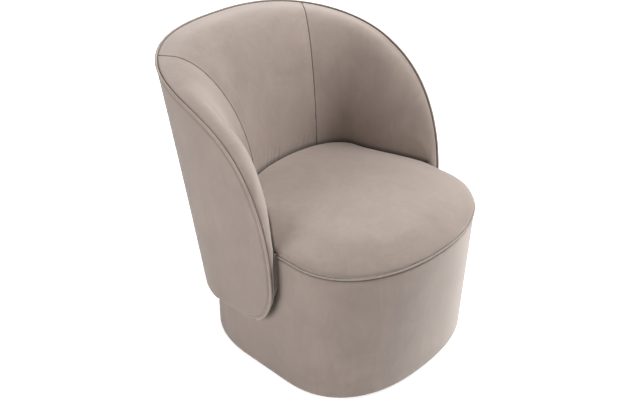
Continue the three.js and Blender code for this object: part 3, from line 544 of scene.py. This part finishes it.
def seam_dip(station):
    """How far the padding is drawn in near the seam between the back and an arm."""
    away = (np.abs(station) - PANEL_SEAM) / SEAM_SPREAD
    return SEAM_DIP * np.exp(-away * away)


PAD_END = TUCK_HEIGHT + LEAST_ROLL / 4 + COVER


def last_padded_station():
    """The foremost station, in steps of 1/400, whose rim is high enough for padding that reaches the seat."""
    station = 2.0
    while station > 1 and rim_height(station) < PAD_END:
        station -= 1 / 400
    return station


PAD_FRONT = last_padded_station()


def padding_depth(station):
    """How deep the padding is under its face: full at the back, a thin cover at the arm's narrow front."""
    width = padding_width(station)
    full = COVER + SOFT_GAP + np.minimum(PAD, PAD_FILL * (width - BOARD_BACK - COVER))
    return COVER + (full - COVER) * smooth((width - NARROW_PAD) / NARROW_PAD_RUN)


def rolled(fall):
    """Share of the padding's width that its face has crossed when it has fallen by a share of the roll."""
    return FLAT_RIM + (1 - FLAT_RIM) * np.sqrt(1 - (1 - np.clip(fall, 0, 1)) ** (2 / ROLL_POWER))


ROW_MARKS = np.unique(np.concatenate([
    [0, 0.0015, 0.0035, 0.006, 0.010],
    np.linspace(0.016, 0.985, 84),
    [0.990, 0.995, 1.0],
]))

# Strip round the arm's front and lower edge, whose width grows from its foot upwards
STRIP_DEPTH = 16.0
STRIP_COVER = 4.5
LOW_STRIP = 16.0
HIGH_STRIP = 40.0
STRIP_FOOT = 325.0
STRIP_RUN = 165.0

# Roll of the arm, which widens from its foot upwards and blends into the back's roll behind the nose
NOSE_TOP = 590.0
NOSE_RUN = 140.0
DROP_FOOT = 360.0
NARROW_ROLL = 15.0
WIDE_ROLL = 72.0
ROLL_FOOT = 425.0
ROLL_RUN = 130.0
ARM_BLEND_FRONT = -110.0
ARM_BLEND_RUN = 95.0

# Points of a cut: over the flat rim, down the roll and down to the seat
FLAT_STEPS = 8
FALL_STEPS = 150
DROP_STEPS = 12


# The arm's edge on the right side: from the rear middle along the rim, over the nose and back under the arm
RIM_COUNT = 4000
NOSE_COUNT = 80
HEM_COUNT = 1500
RIM_STATIONS = np.linspace(0, 2, RIM_COUNT)
HEM_STATIONS = 2 - np.linspace(0, 1, HEM_COUNT) ** 2
NOSE_HEIGHTS = np.linspace(float(rim_height(2.0)), float(hem_height(2.0)), NOSE_COUNT + 2)[1:-1]
EDGE_STATIONS = np.concatenate([RIM_STATIONS, np.full(NOSE_COUNT, 2.0), HEM_STATIONS])
EDGE_HEIGHTS = np.concatenate([rim_height(RIM_STATIONS), NOSE_HEIGHTS, hem_height(HEM_STATIONS)])
EDGE_LINE = wall_point(EDGE_STATIONS, EDGE_HEIGHTS, RIM_EDGE)
EDGE_LENGTH = along(EDGE_LINE)
EDGE_STEP = np.gradient(EDGE_LINE, axis=0)
EDGE_INWARD = np.stack([np.zeros(len(EDGE_LINE)), -EDGE_STEP[:, 2], EDGE_STEP[:, 1]], -1)
EDGE_INWARD /= np.maximum(np.linalg.norm(EDGE_INWARD, axis=1, keepdims=True), 1e-9)


def length_of(station):
    """Length along the edge from the rear middle to a station on the rim."""
    return float(np.interp(abs(station), RIM_STATIONS, EDGE_LENGTH[:RIM_COUNT]))


def strip_width(y, z):
    """Width of the roll round the arm's front, from the piping to the crevice beside the drum."""
    back = np.clip((y - ARM_FRONT) / CORNER_DEPTH, 0, 1)
    edge = wall_point(2.0, z, RIM_EDGE)[..., 0] - drum_half(z) - CREVICE
    width = LOW_STRIP + (HIGH_STRIP - LOW_STRIP) * smooth((z - STRIP_FOOT) / STRIP_RUN)
    return np.where(z < TUCK_HEIGHT, width + (edge - width) * back, width)


ARM_EDGE = EDGE_LINE[EDGE_STATIONS >= 1][::3, 1:]
RIM_DEPTHS = EDGE_LINE[RIM_COUNT - 1 :: -1, 1]
RIM_LEVELS = EDGE_LINE[RIM_COUNT - 1 :: -1, 2]


def lowest_roll(rim):
    """Height at which the roll under a rim ends."""
    return np.maximum(TUCK_HEIGHT + GAP, np.minimum(INNER_HEIGHT, rim - LEAST_ROLL))


def back_cut(station):
    """The cut at the back: points from the piping to the seat, and how far across and down each is."""
    rim = float(rim_height(station))
    outer = wall_point(station, rim, RIM_EDGE)
    foot_x, foot_y = inner_foot(station)
    inner = np.array((float(foot_x), float(foot_y), rim))
    fall = np.concatenate([np.zeros(FLAT_STEPS), np.linspace(0, 1, FALL_STEPS) ** 2, np.ones(DROP_STEPS)])
    across = rolled(fall)
    across[:FLAT_STEPS] = np.linspace(0, FLAT_RIM, FLAT_STEPS, endpoint=False)
    low = float(lowest_roll(rim))
    dip = float(seam_dip(station)) * np.sin(HALF_TURN * across) / np.linalg.norm(outer - inner)
    points = outer + (inner - outer) * (across - dip)[:, None] + DOWN * ((rim - low) * fall)[:, None]
    points[-DROP_STEPS:, 2] = np.linspace(low, TUCK_HEIGHT, DROP_STEPS + 1)[1:]
    outward = (outer - inner) / np.linalg.norm(outer - inner)
    return points, across, fall, outward, DOWN


def arm_cut(k):
    """The cut from a place on the arm's edge: over the roll, then down to the seat or into the crevice."""
    outer, start = EDGE_LINE[k], EDGE_LINE[k, 1:]
    over_seat = k < RIM_COUNT and outer[2] >= PAD_END
    if over_seat:
        lean = STRIP_DEPTH * float(smooth((NOSE_TOP - outer[2]) / NOSE_RUN))
        stop = np.array((outer[1] + lean, TUCK_HEIGHT))
    else:
        fan = float(smooth((outer[2] - DROP_FOOT) / (PAD_END - DROP_FOOT))) if k < RIM_COUNT else 0.0
        stop = start + EDGE_INWARD[k, 1:] * STRIP_DEPTH - (0, (PAD_END - TUCK_HEIGHT) * fan)
    line = start + (stop - start) * (np.linspace(0, 1, FALL_STEPS) ** 2)[:, None]
    y, z = line.T
    gaps = np.hypot(y[:, None] - ARM_EDGE[None, :, 0], z[:, None] - ARM_EDGE[None, :, 1]).min(1)
    fall = gaps / (NARROW_ROLL + (WIDE_ROLL - NARROW_ROLL) * smooth((z - ROLL_FOOT) / ROLL_RUN))
    edge = wall_point(2.0, z, RIM_EDGE)[:, 0]
    reach = edge - strip_width(y, z)
    if over_seat:
        rim = np.interp(y, RIM_DEPTHS, RIM_LEVELS)
        behind = smooth((y - ARM_BLEND_FRONT) / ARM_BLEND_RUN)
        fall = fall + ((rim - z) / (rim - lowest_roll(rim)) - fall) * behind
        edge = edge + (outer[0] - edge) * behind
        free = float(smooth((outer[2] - PAD_END) / LEAST_ROLL))
        reach = reach + (arm_face(y) - reach) * free
    fall = np.clip(fall, 0, 1)
    fall[0] = 0
    across = rolled(fall)
    points = np.column_stack([edge - (edge - reach) * across, y, z])
    flat = np.linspace(0, FLAT_RIM, FLAT_STEPS, endpoint=False)
    rim_points = np.repeat(outer[None], FLAT_STEPS, axis=0)
    rim_points[:, 0] = edge[0] - (edge[0] - reach[0]) * flat
    points = np.concatenate([rim_points, points])
    down = np.array((0, *(stop - start))) / np.linalg.norm(stop - start)
    across, fall = np.concatenate([flat, across]), np.concatenate([np.zeros(FLAT_STEPS), fall])
    return points, across, fall, np.array((1.0, 0.0, 0.0)), down


def padding_column(length, depth):
    """The padding's face and its back at a length along the edge, as two lines of the same count."""
    k = min(len(EDGE_LINE) - 1, int(np.searchsorted(EDGE_LENGTH, length)))
    station = EDGE_STATIONS[k]
    behind = k < RIM_COUNT and station <= 1
    points, across, fall, outward, down = back_cut(station) if behind else arm_cut(k)
    sink = down * depth
    low_wall = wall_point(station, EDGE_LINE[k, 2] + sink[2], RIM_EDGE)
    if behind:
        sink = low_wall - EDGE_LINE[k]
    else:
        sink[0] = low_wall[0] - EDGE_LINE[k, 0]
    under = points + outward * (depth * across)[:, None] + sink * (1 - fall)[:, None]
    run = along(points)
    marks = ROW_MARKS * run[-1]
    return [np.stack([np.interp(marks, run, line[:, i]) for i in range(3)], -1) for line in (points, under)]


def mirrored_grids(columns, mirror):
    """The faces and the backs of some columns as two grids of points."""
    faces, backs = zip(*columns)
    return np.array(faces) * mirror, np.array(backs) * mirror


def padding_columns(stations, depth_of=lambda station: 0.0):
    """Face and back of the padding at some stations, each a grid of points."""
    columns = [padding_column(length_of(station), float(depth_of(station))) for station in stations]
    mirror = np.array([(math.copysign(1.0, station), 1, 1) for station in stations])[:, None, :]
    return mirrored_grids(columns, mirror)


STRIP_STEP = 4.0


def strip_columns(side):
    """Face and back of the roll round the arm's front and lower edge, on from the padding's last station."""
    marks = np.arange(length_of(PAD_FRONT) + STRIP_STEP, EDGE_LENGTH[-1], STRIP_STEP)
    return mirrored_grids([padding_column(mark, STRIP_COVER) for mark in marks], (side, 1, 1))


def even_stations(stations, first_line, second_line, spacing):
    """Stations with even steps, on average, along two lines that run side by side."""
    length = along(first_line) + along(second_line)
    count = int(length[-1] / (2 * spacing)) + 2
    return np.interp(np.linspace(0, length[-1], count), length, stations)


NEAR_SEAM = (0.7, 1.6, 2.8, 4.6)
NEAR_SEAM_RUN = 250.0


def seam_stations(start, end, spacing, seams):
    """Stations with even steps along the rim and the seat, and extra ones close to the seams."""
    fine = np.linspace(start, end, 6000)
    foot = np.stack([*inner_foot(fine), np.zeros(len(fine))], -1)
    stations = [even_stations(fine, wall_point(fine, rim_height(fine)), foot, spacing)]
    near = np.array(NEAR_SEAM) / NEAR_SEAM_RUN
    for seam in seams:
        stations.append(start + near if seam == start else end - near)
    return np.unique(np.concatenate(stations))


def sew_edge(grid, distance, radius, outward):
    """Rounds a face down into a seam: points nearer than radius sink by a quarter circle."""
    near = np.clip(1 - distance / radius, 0, 1)
    sink = radius * (1 - np.sqrt(1 - near**2))
    return grid - outward * sink[..., None]


def outward_normals(grid, towards):
    """Unit normals of a grid, on the side of the given directions."""
    normal = normals_of(grid)
    flip = np.sign((normal * towards).sum(-1, keepdims=True))
    flip[flip == 0] = 1
    return normal * flip


SEAM_ROUND = 2.4
PIPE_ROUND = 5.0

# Fold of the cover between the arm's strip and the drum: where it ends and how deep it lies
FOLD_STEP = 4.0
FOLD_ROWS = 8
FOLD_TOP = 396.0
FOLD_END = -12.0
FOLD_SKIN = 1.0
FOLD_BACK = 8.0
FOLD_FRONT = 1.5
FOLD_LOW = 14.0
FOLD_FOOT = 350.0
FOLD_FADE = 110.0
FOLD_THICKNESS = (0, 0.8, 0.4)


def crevice_fold(side):
    """The cover's turn across the crevice, from the inner edge of the arm's front strip to the drum."""
    turns = np.linspace(0, QUARTER, FOLD_ROWS)
    on_rim = np.arange(len(EDGE_LINE)) < RIM_COUNT
    kept = (EDGE_LINE[:, 2] < FOLD_TOP) & (on_rim | (EDGE_LINE[:, 1] < FOLD_END))
    marks = np.arange(EDGE_LENGTH[kept][0], EDGE_LENGTH[kept][-1], FOLD_STEP)
    columns = []
    for k in np.searchsorted(EDGE_LENGTH, marks):
        start, inward = EDGE_LINE[k, 1:], EDGE_INWARD[k, 1:]
        shown = float(smooth((start[1] - FOLD_FOOT + FOLD_FADE) / FOLD_FADE))
        front = FOLD_LOW + (FOLD_FRONT - FOLD_LOW) * shown
        depths = front + (FOLD_BACK - front) * shown * np.cos(turns)
        y, z = (start + inward * depths[:, None]).T
        reach = wall_point(2.0, z, RIM_EDGE)[:, 0] - strip_width(y, z) + FOLD_SKIN
        drum = drum_half(z) - FOLD_SKIN
        columns.append(np.column_stack([reach + (drum - reach) * np.sin(turns), y, z]))
    front = np.array(columns)
    back = front + FOLD_THICKNESS
    return thick_sheet(front * (side, 1, 1), back * (side, 1, 1))


# Each pucker has its place across the back and how far it leans as it rises
PUCKERS = ((-66, 0.25), (-52, 0.3), (-40, 0.3), (-20, 0.25), (66, 0.3), (80, 0.4), (92, 0.4), (103, 0.3))
PUCKER_FOOT = 425.0
PUCKER_RISE = 12.0
PUCKER_FADE = 48.0
PUCKER_DEPTH = 0.8
PUCKER_WIDTH = 4.0
BACK_RUN = 230.0


def puckers(stations, heights):
    """Depth of the small folds that the pull of the sewing leaves low on the back."""
    over = heights - PUCKER_FOOT
    across = stations[:, None] * BACK_RUN
    folds = sum(np.exp(-(((across - place - lean * over) / PUCKER_WIDTH) ** 2)) for place, lean in PUCKERS)
    return PUCKER_DEPTH * folds * (1 - smooth((over - PUCKER_RISE) / PUCKER_FADE))


BACK_STEP = 2.5
ARM_STEP = 5.0


def pad_piece(name, start, end, replaced, side=0):
    """One panel of the padding as a closed form: the back (side 0), the right arm (1) or the left (-1)."""
    seams = {0: (start, end), 1: (start,), -1: (end,)}[side]
    stations = seam_stations(start, end, ARM_STEP if side else BACK_STEP, seams)
    front, back = padding_columns(stations, padding_depth)
    if side:
        strip_front, strip_back = strip_columns(side)
        if side > 0:
            front, back = np.concatenate([front, strip_front]), np.concatenate([back, strip_back])
        else:
            front, back = np.concatenate([strip_front[::-1], front]), np.concatenate([strip_back[::-1], back])
    outward = outward_normals(front, front - back)
    seam_lines = [padding_columns([station])[0][0] for station in seams]
    seam_line = np.concatenate([resample(line, np.linspace(0, 1, 500)) for line in seam_lines])
    front = sew_edge(front, nearest(front, seam_line), SEAM_ROUND, outward)
    to_pipe = np.linalg.norm(front - front[:, :1], axis=-1)
    front = sew_edge(front, to_pipe, PIPE_ROUND, outward)
    if not side:
        front = front - outward * puckers(stations, front[..., 2])[..., None]
    points, faces = thick_sheet(front, back)
    if side:
        fold_points, fold_faces = crevice_fold(side)
        faces += [tuple(k + len(points) for k in face) for face in fold_faces]
        points = np.concatenate([points, fold_points])
    piece = make_piece(name, points, faces, VELVET)
    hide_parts(*replaced)


SPLIT = GAP / INNER_HALF_WIDTH
pad_piece("back_cushion", -PANEL_SEAM + SPLIT, PANEL_SEAM - SPLIT, ["inner_cover_centre", "back_pad"])
pad_piece(
    "arm_cushion_left", -PAD_FRONT, -PANEL_SEAM - SPLIT,
    ["inner_cover_left", "arm_pad_left", "arm_facing_left"], -1,
)
pad_piece(
    "arm_cushion_right", PANEL_SEAM + SPLIT, PAD_FRONT,
    ["inner_cover_right", "arm_pad_right", "arm_facing_right"], 1,
)


# Outer cover of the shell
OUTER_STEP = 6.0
OUTER_MARKS = np.unique(np.concatenate([
    [0, 0.006, 0.014],
    np.linspace(0.022, 0.05, 6),
    np.linspace(0.06, 0.955, 66),
    np.linspace(0.96, 0.985, 8),
    [0.989, 0.993, 0.998, 1],
]))
OUTER_THICKNESS = COVER - 0.8
UNDER_CORD = 0.6
INNER_UNDER_CORD = 0.5
CORD_COVER = 1.2
INNER_DRAW = 1.5
INNER_DRAW_RUN = 6.0
EDGE_VALLEY = 3.0
VALLEY_PLACE = 8.0
VALLEY_WIDTH = 3.4


def outer_cover():
    """The shell's outer skin, from hem to rim, drawn down beside the piping."""
    fine = np.linspace(0, 2, 8000)
    rim, hem = wall_point(fine, rim_height(fine)), wall_point(fine, hem_height(fine))
    half = even_stations(fine, rim, hem, OUTER_STEP)
    inset = PIPING_INSET + UNDER_CORD
    grid, inner = [], []
    for station in np.concatenate([-half[:0:-1], half]):
        low, high = float(hem_height(station, inset)), float(rim_height(station, inset))
        heights = low + (high - low) * OUTER_MARKS
        grid.append(wall_point(station, heights, 0.0, inset))
        inner.append(wall_point(station, heights, OUTER_THICKNESS, inset + INNER_UNDER_CORD))
    grid, inner = np.array(grid), np.array(inner)
    edge = resample(wall_point(EDGE_STATIONS, EDGE_HEIGHTS), np.linspace(0, 1, 1200))
    outward = outward_normals(grid, grid - inner)
    distance = nearest(grid, np.concatenate([edge, edge * (-1, 1, 1)]))
    front = sew_edge(grid, np.maximum(0, distance - CORD_COVER), PIPE_ROUND, outward)
    valley = EDGE_VALLEY * np.exp(-((distance - VALLEY_PLACE) / VALLEY_WIDTH) ** 2)
    front = front - outward * valley[..., None]
    draw = INNER_DRAW * np.clip(1 - distance / INNER_DRAW_RUN, 0, 1)
    points, faces = thick_sheet(front, inner - outward * draw[..., None])
    piece = make_piece("outer_shell_cover", points, faces, VELVET)
    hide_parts("outer_cover")


outer_cover()


# Seat cushion and drum band
SEAT_GAP = 3.0
SEAT_LEDGE = 0.8
SEAT_LOW = 325.0
SEAT_STEP = 6.0
SEAT_REST = 0.2
SEAT_COLUMNS = 360
SEAT_SHARES = np.concatenate([np.linspace(0, 0.9, 46)[1:], np.linspace(0.9, 1.0, 20)[1:]])
LEAST_SEAT_ROUND = 1.5
MOST_SEAT_ROUND = 12.0
CROWN_LIFT = 7.0
CROWN_LIFT_END = 0.97
CROWN_LIFT_RUN = 0.35
EDGE_PULL = 2.2
EDGE_PULL_RUN = 9.0


def drum_places(count):
    """Places round the drum with even steps along its seam."""
    fine = np.linspace(0, 6, 6001)
    length = along(drum_point(fine, SEAM_HEIGHT))
    return np.interp(np.linspace(0, length[-1], count + 1)[:-1], length, fine)


def cushion_outline(inset, height=0.0):
    """Outline of the seat cushion: the padding at the back and sides, the drum's seam in front."""
    sides = np.linspace(0, 2, 900)
    x, y = inner_foot(sides, -SEAT_GAP - inset)
    x = np.minimum(x, SEAM_HALF_WIDTH - inset)
    quarter = drum_point(np.linspace(2, 3, 700), SEAM_HEIGHT, inset)
    half = np.concatenate([np.stack([x, y, np.zeros(len(x))], -1), quarter * (1, 1, 0)])
    whole = np.concatenate([half, half[-2:0:-1] * (-1, 1, 1), half[:1]])
    return resample(whole, np.linspace(0, 1, SEAT_COLUMNS + 1)[:-1]) + (0, 0, height)


def seat_top(middle):
    """The crowned top, as lines of points from near the middle to the edge, which is rounded and drawn in."""
    outline = cushion_outline(0.0)[:, None, :2]
    plan = middle + (outline - middle) * SEAT_SHARES[None, :, None]
    x, y = plan[..., 0], plan[..., 1]
    lift = CROWN_LIFT * smooth((CROWN_LIFT_END - drum_spread(x, y)) / CROWN_LIFT_RUN)
    top = np.stack([x, y, crown_height(x, y) + lift], -1)
    edge = top[:, -1:]
    away = np.linalg.norm(top - edge, axis=-1)
    inward = middle - edge[..., :2]
    inward = inward / np.linalg.norm(inward, axis=-1, keepdims=True)
    pull = EDGE_PULL * np.clip(1 - away / EDGE_PULL_RUN, 0, 1) ** 2
    top = sew_edge(top, away, np.clip(edge[..., 2] - COVER_BOTTOM, LEAST_SEAT_ROUND, MOST_SEAT_ROUND), UP)
    top[..., :2] += inward * pull[..., None]
    return top


def seat_cushion():
    """The seat's cushion: crowned on top, with a ledge over the piping and straight sides inside the drum."""
    middle = np.array((0, SEAM_FRONT_CENTRE / 2))
    under = [
        cushion_outline(EDGE_PULL + SEAT_LEDGE, COVER_BOTTOM + SEAT_REST),
        cushion_outline(BAND_COVER + GAP, COVER_BOTTOM - SEAT_STEP),
        cushion_outline(BAND_COVER + GAP, SEAT_LOW),
    ]
    columns = np.concatenate([seat_top(middle), np.stack(under, 1)], axis=1)
    count, rows = columns.shape[:2]
    centre_top = np.array((*middle, float(crown_height(*middle)) + CROWN_LIFT))
    centre_low = np.array((*middle, SEAT_LOW))
    points = np.concatenate([columns.reshape(-1, 3), [centre_top, centre_low]])
    faces = grid_faces(count, rows, 0, True)
    for i in range(count):
        following = ((i + 1) % count) * rows
        faces.append((count * rows, following, i * rows))
        faces.append((count * rows + 1, i * rows + rows - 1, following + rows - 1))
    piece = make_piece("seat_cushion", points, faces, VELVET)
    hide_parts("seat_cover", "seat_foam")


# The band's profile: heights and insets at its foot, then drops from its top and insets at its seam
BAND_FOOT = ((16.0, 16.0), (13.2, 12.0), (12.2, 8.0), (12.8, 4.4), (14.6, 2.0), (17.5, 0.6), (21.0, 0.0))
BAND_ROLL = ((7.5, 0.15), (5.4, 0.6), (3.8, 1.6), (2.5, 3.2), (1.3, 5.0), (0.0, 6.0))
BAND_STRAIGHT_TOP = BAND_TOP - 10
BAND_COLUMNS = 420
BAND_INNER_FOOT = 16.5
BAND_LEAST = 0.5


def drum_band():
    """The drum's velvet band, rolled in at its foot and at the seam under the piping."""
    turns = drum_places(BAND_COLUMNS)
    straight = np.linspace(BAND_FOOT[-1][0], BAND_STRAIGHT_TOP, 64)[1:]
    levels = [*BAND_FOOT]
    levels += [(z, 0.0) for z in straight]
    levels += [(BAND_TOP - drop, inset) for drop, inset in BAND_ROLL]
    front, back = [], []
    for z, inset in levels:
        front.append(drum_point(turns, z, inset))
        deep = max(BAND_COVER - BAND_LEAST, inset + BAND_LEAST)
        back.append(drum_point(turns, max(z, BAND_INNER_FOOT), deep))
    points, faces = thick_sheet(np.stack(front, 1), np.stack(back, 1), True)
    piece = make_piece("drum_band", points, faces, VELVET)
    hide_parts("base_cover")


seat_cushion()
drum_band()


# Piping
TUBE_SIDES = 14
CORD_STEP = 4.0
CORD_TAIL = -75.0
PIPING_END = 1.5


def tube_piece(name, line, replaced):
    """A round cord along a line, with closed ends."""
    sides = TUBE_SIDES
    tangent = np.gradient(line, axis=0)
    tangent /= np.linalg.norm(tangent, axis=1, keepdims=True)
    normal = np.zeros_like(line)
    current = np.cross(tangent[0], (0.0, 0.3, 1.0))
    for k, direction in enumerate(tangent):
        current = current - direction * np.dot(current, direction)
        current = current / np.linalg.norm(current)
        normal[k] = current
    other = np.cross(tangent, normal)
    turns = np.linspace(0, 2 * HALF_TURN, sides + 1)[:-1]
    rings = line[:, None] + PIPING * (
        np.cos(turns)[None, :, None] * normal[:, None] + np.sin(turns)[None, :, None] * other[:, None]
    )
    count = len(line)
    points = np.concatenate([rings.reshape(-1, 3), line[:1], line[-1:]])
    faces = []
    for k in range(count - 1):
        for j in range(sides):
            a, b = k * sides + j, k * sides + (j + 1) % sides
            faces.append((a, b, b + sides, a + sides))
    for j in range(sides):
        faces.append((count * sides, (j + 1) % sides, j))
        last = (count - 1) * sides
        faces.append((count * sides + 1, last + j, last + (j + 1) % sides))
    piece = make_piece(name, points, faces, PIPED)
    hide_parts(*replaced)


def even_line(points):
    """The same line with even steps, as fine as a cord needs."""
    count = int(along(points)[-1] / CORD_STEP)
    return resample(points, np.linspace(0, 1, count))


def rim_line():
    """The cord along the whole rim, over both noses and back under the arms."""
    kept = RIM_COUNT + NOSE_COUNT + int((HEM_STATIONS >= PIPING_END).sum())
    half = wall_point(EDGE_STATIONS[:kept], EDGE_HEIGHTS[:kept], PIPING_INSET)
    return even_line(np.concatenate([half[:0:-1] * (-1, 1, 1), half]))


def seam_line():
    """The cord round the front of the seat, on along its sides under the padding."""
    front = drum_point(np.linspace(2, 4, 1500), PIPING_HEIGHT, PIPING_INSET)
    tail_y = np.linspace(CORD_TAIL, SEAM_FRONT_CENTRE, 60)[:-1]
    tail = np.stack(np.broadcast_arrays(front[0, 0], tail_y, PIPING_HEIGHT), -1)
    return even_line(np.concatenate([tail, front, tail[::-1] * (-1, 1, 1)]))


tube_piece("rim_cord", rim_line(), ["rim_piping"])
tube_piece("seat_cord", seam_line(), ["seat_piping"])


# Camera, lights and floor
PHOTO_FOCAL = 948.846
PHOTO_WIDTH = 631.0
SENSOR = 36.0
CAMERA_TILT = 0.567288
CAMERA_TURN = -0.806964
camera_data = bpy.data.cameras.new("camera")
camera = add_object("camera", camera_data)
camera.location = (-1.5128, -1.4483, 1.6826)
camera.rotation_euler = (QUARTER - CAMERA_TILT, 0.0, CAMERA_TURN)
camera_data.sensor_width = SENSOR
camera_data.lens = PHOTO_FOCAL / PHOTO_WIDTH * SENSOR
camera_data.shift_x = -0.00696
camera_data.shift_y = 0.00344
camera_data.clip_end = 50.0
bpy.context.scene.camera = camera


def area_light(name, place, aim, size, energy):
    """A square lamp with an edge in metres and a power in watts, turned to the point that it aims at."""
    data = bpy.data.lights.new(name, "AREA")
    data.shape = "SQUARE"
    data.size = size
    data.energy = energy
    lamp = add_object(name, data)
    lamp.location = place
    direction = Vector(aim) - Vector(place)
    lamp.rotation_euler = direction.to_track_quat("-Z", "Y").to_euler()


LAMPS = (
    ("key_light", (1.9, -1.5, 2.6), (0.0, 0.0, 0.45), 1.8, 86.0),
    ("side_light", (2.7, -0.2, 1.5), (0.0, 0.0, 0.45), 1.6, 21.0),
    ("rear_light", (2.0, 1.7, 2.0), (0.0, 0.0, 0.45), 1.6, 46.0),
    ("left_light", (-2.8, 0.1, 1.1), (0.0, 0.0, 0.45), 1.6, 49.0),
    ("top_light", (0.0, 0.0, 3.2), (0.0, 0.0, 0.4), 2.0, 15.0),
    ("front_light", (0.5, -2.9, 1.6), (0.0, 0.0, 0.45), 1.6, 8.0),
)
for lamp in LAMPS:
    area_light(*lamp)


def glow_node(tree, amount):
    """A strength for what the camera sees, in gloss or glass too, and none for what lights the chair."""
    path = tree.nodes.new("ShaderNodeLightPath")
    seen = math_node(tree, "MAXIMUM", path.outputs["Is Camera Ray"], path.outputs["Is Glossy Ray"])
    seen = math_node(tree, "MAXIMUM", seen, path.outputs["Is Transmission Ray"])
    return math_node(tree, "MULTIPLY", seen, amount)


BACKDROP_GLOW = 0.97
BACKDROP_LIGHT = 0.03
FLOOR_GLOW = 0.78
FLOOR_REACH = 8.0


def make_backdrop():
    """A white surround that lights the chair only a little."""
    world = bpy.data.worlds.new("studio")
    bpy.context.scene.world = world
    world.use_nodes = True
    tree = world.node_tree
    background = tree.nodes["Background"]
    background.inputs["Color"].default_value = (1, 1, 1, 1)
    strength = math_node(tree, "ADD", glow_node(tree, BACKDROP_GLOW), BACKDROP_LIGHT)
    tree.links.new(strength, background.inputs["Strength"])


def make_floor():
    """A pale floor that glows for the camera, so that only the chair's shadow shows on it."""
    material, tree, shader = node_material("pale_floor")
    shader.inputs["Base Color"].default_value = (0.82, 0.82, 0.82, 1)
    shader.inputs["Roughness"].default_value = 0.9
    shader.inputs["Specular IOR Level"].default_value = 0.0
    shader.inputs["Emission Color"].default_value = (1, 1, 1, 1)
    tree.links.new(glow_node(tree, FLOOR_GLOW), shader.inputs["Emission Strength"])
    mesh = bpy.data.meshes.new("floor")
    corners = [(x * FLOOR_REACH, y * FLOOR_REACH, 0) for x, y in ((-1, -1), (1, -1), (1, 1), (-1, 1))]
    mesh.from_pydata(corners, [], [(0, 1, 2, 3)])
    mesh.materials.append(material)
    floor = add_object("floor", mesh)


make_backdrop()
make_floor()
bpy.context.scene.view_settings.view_transform = "Standard"
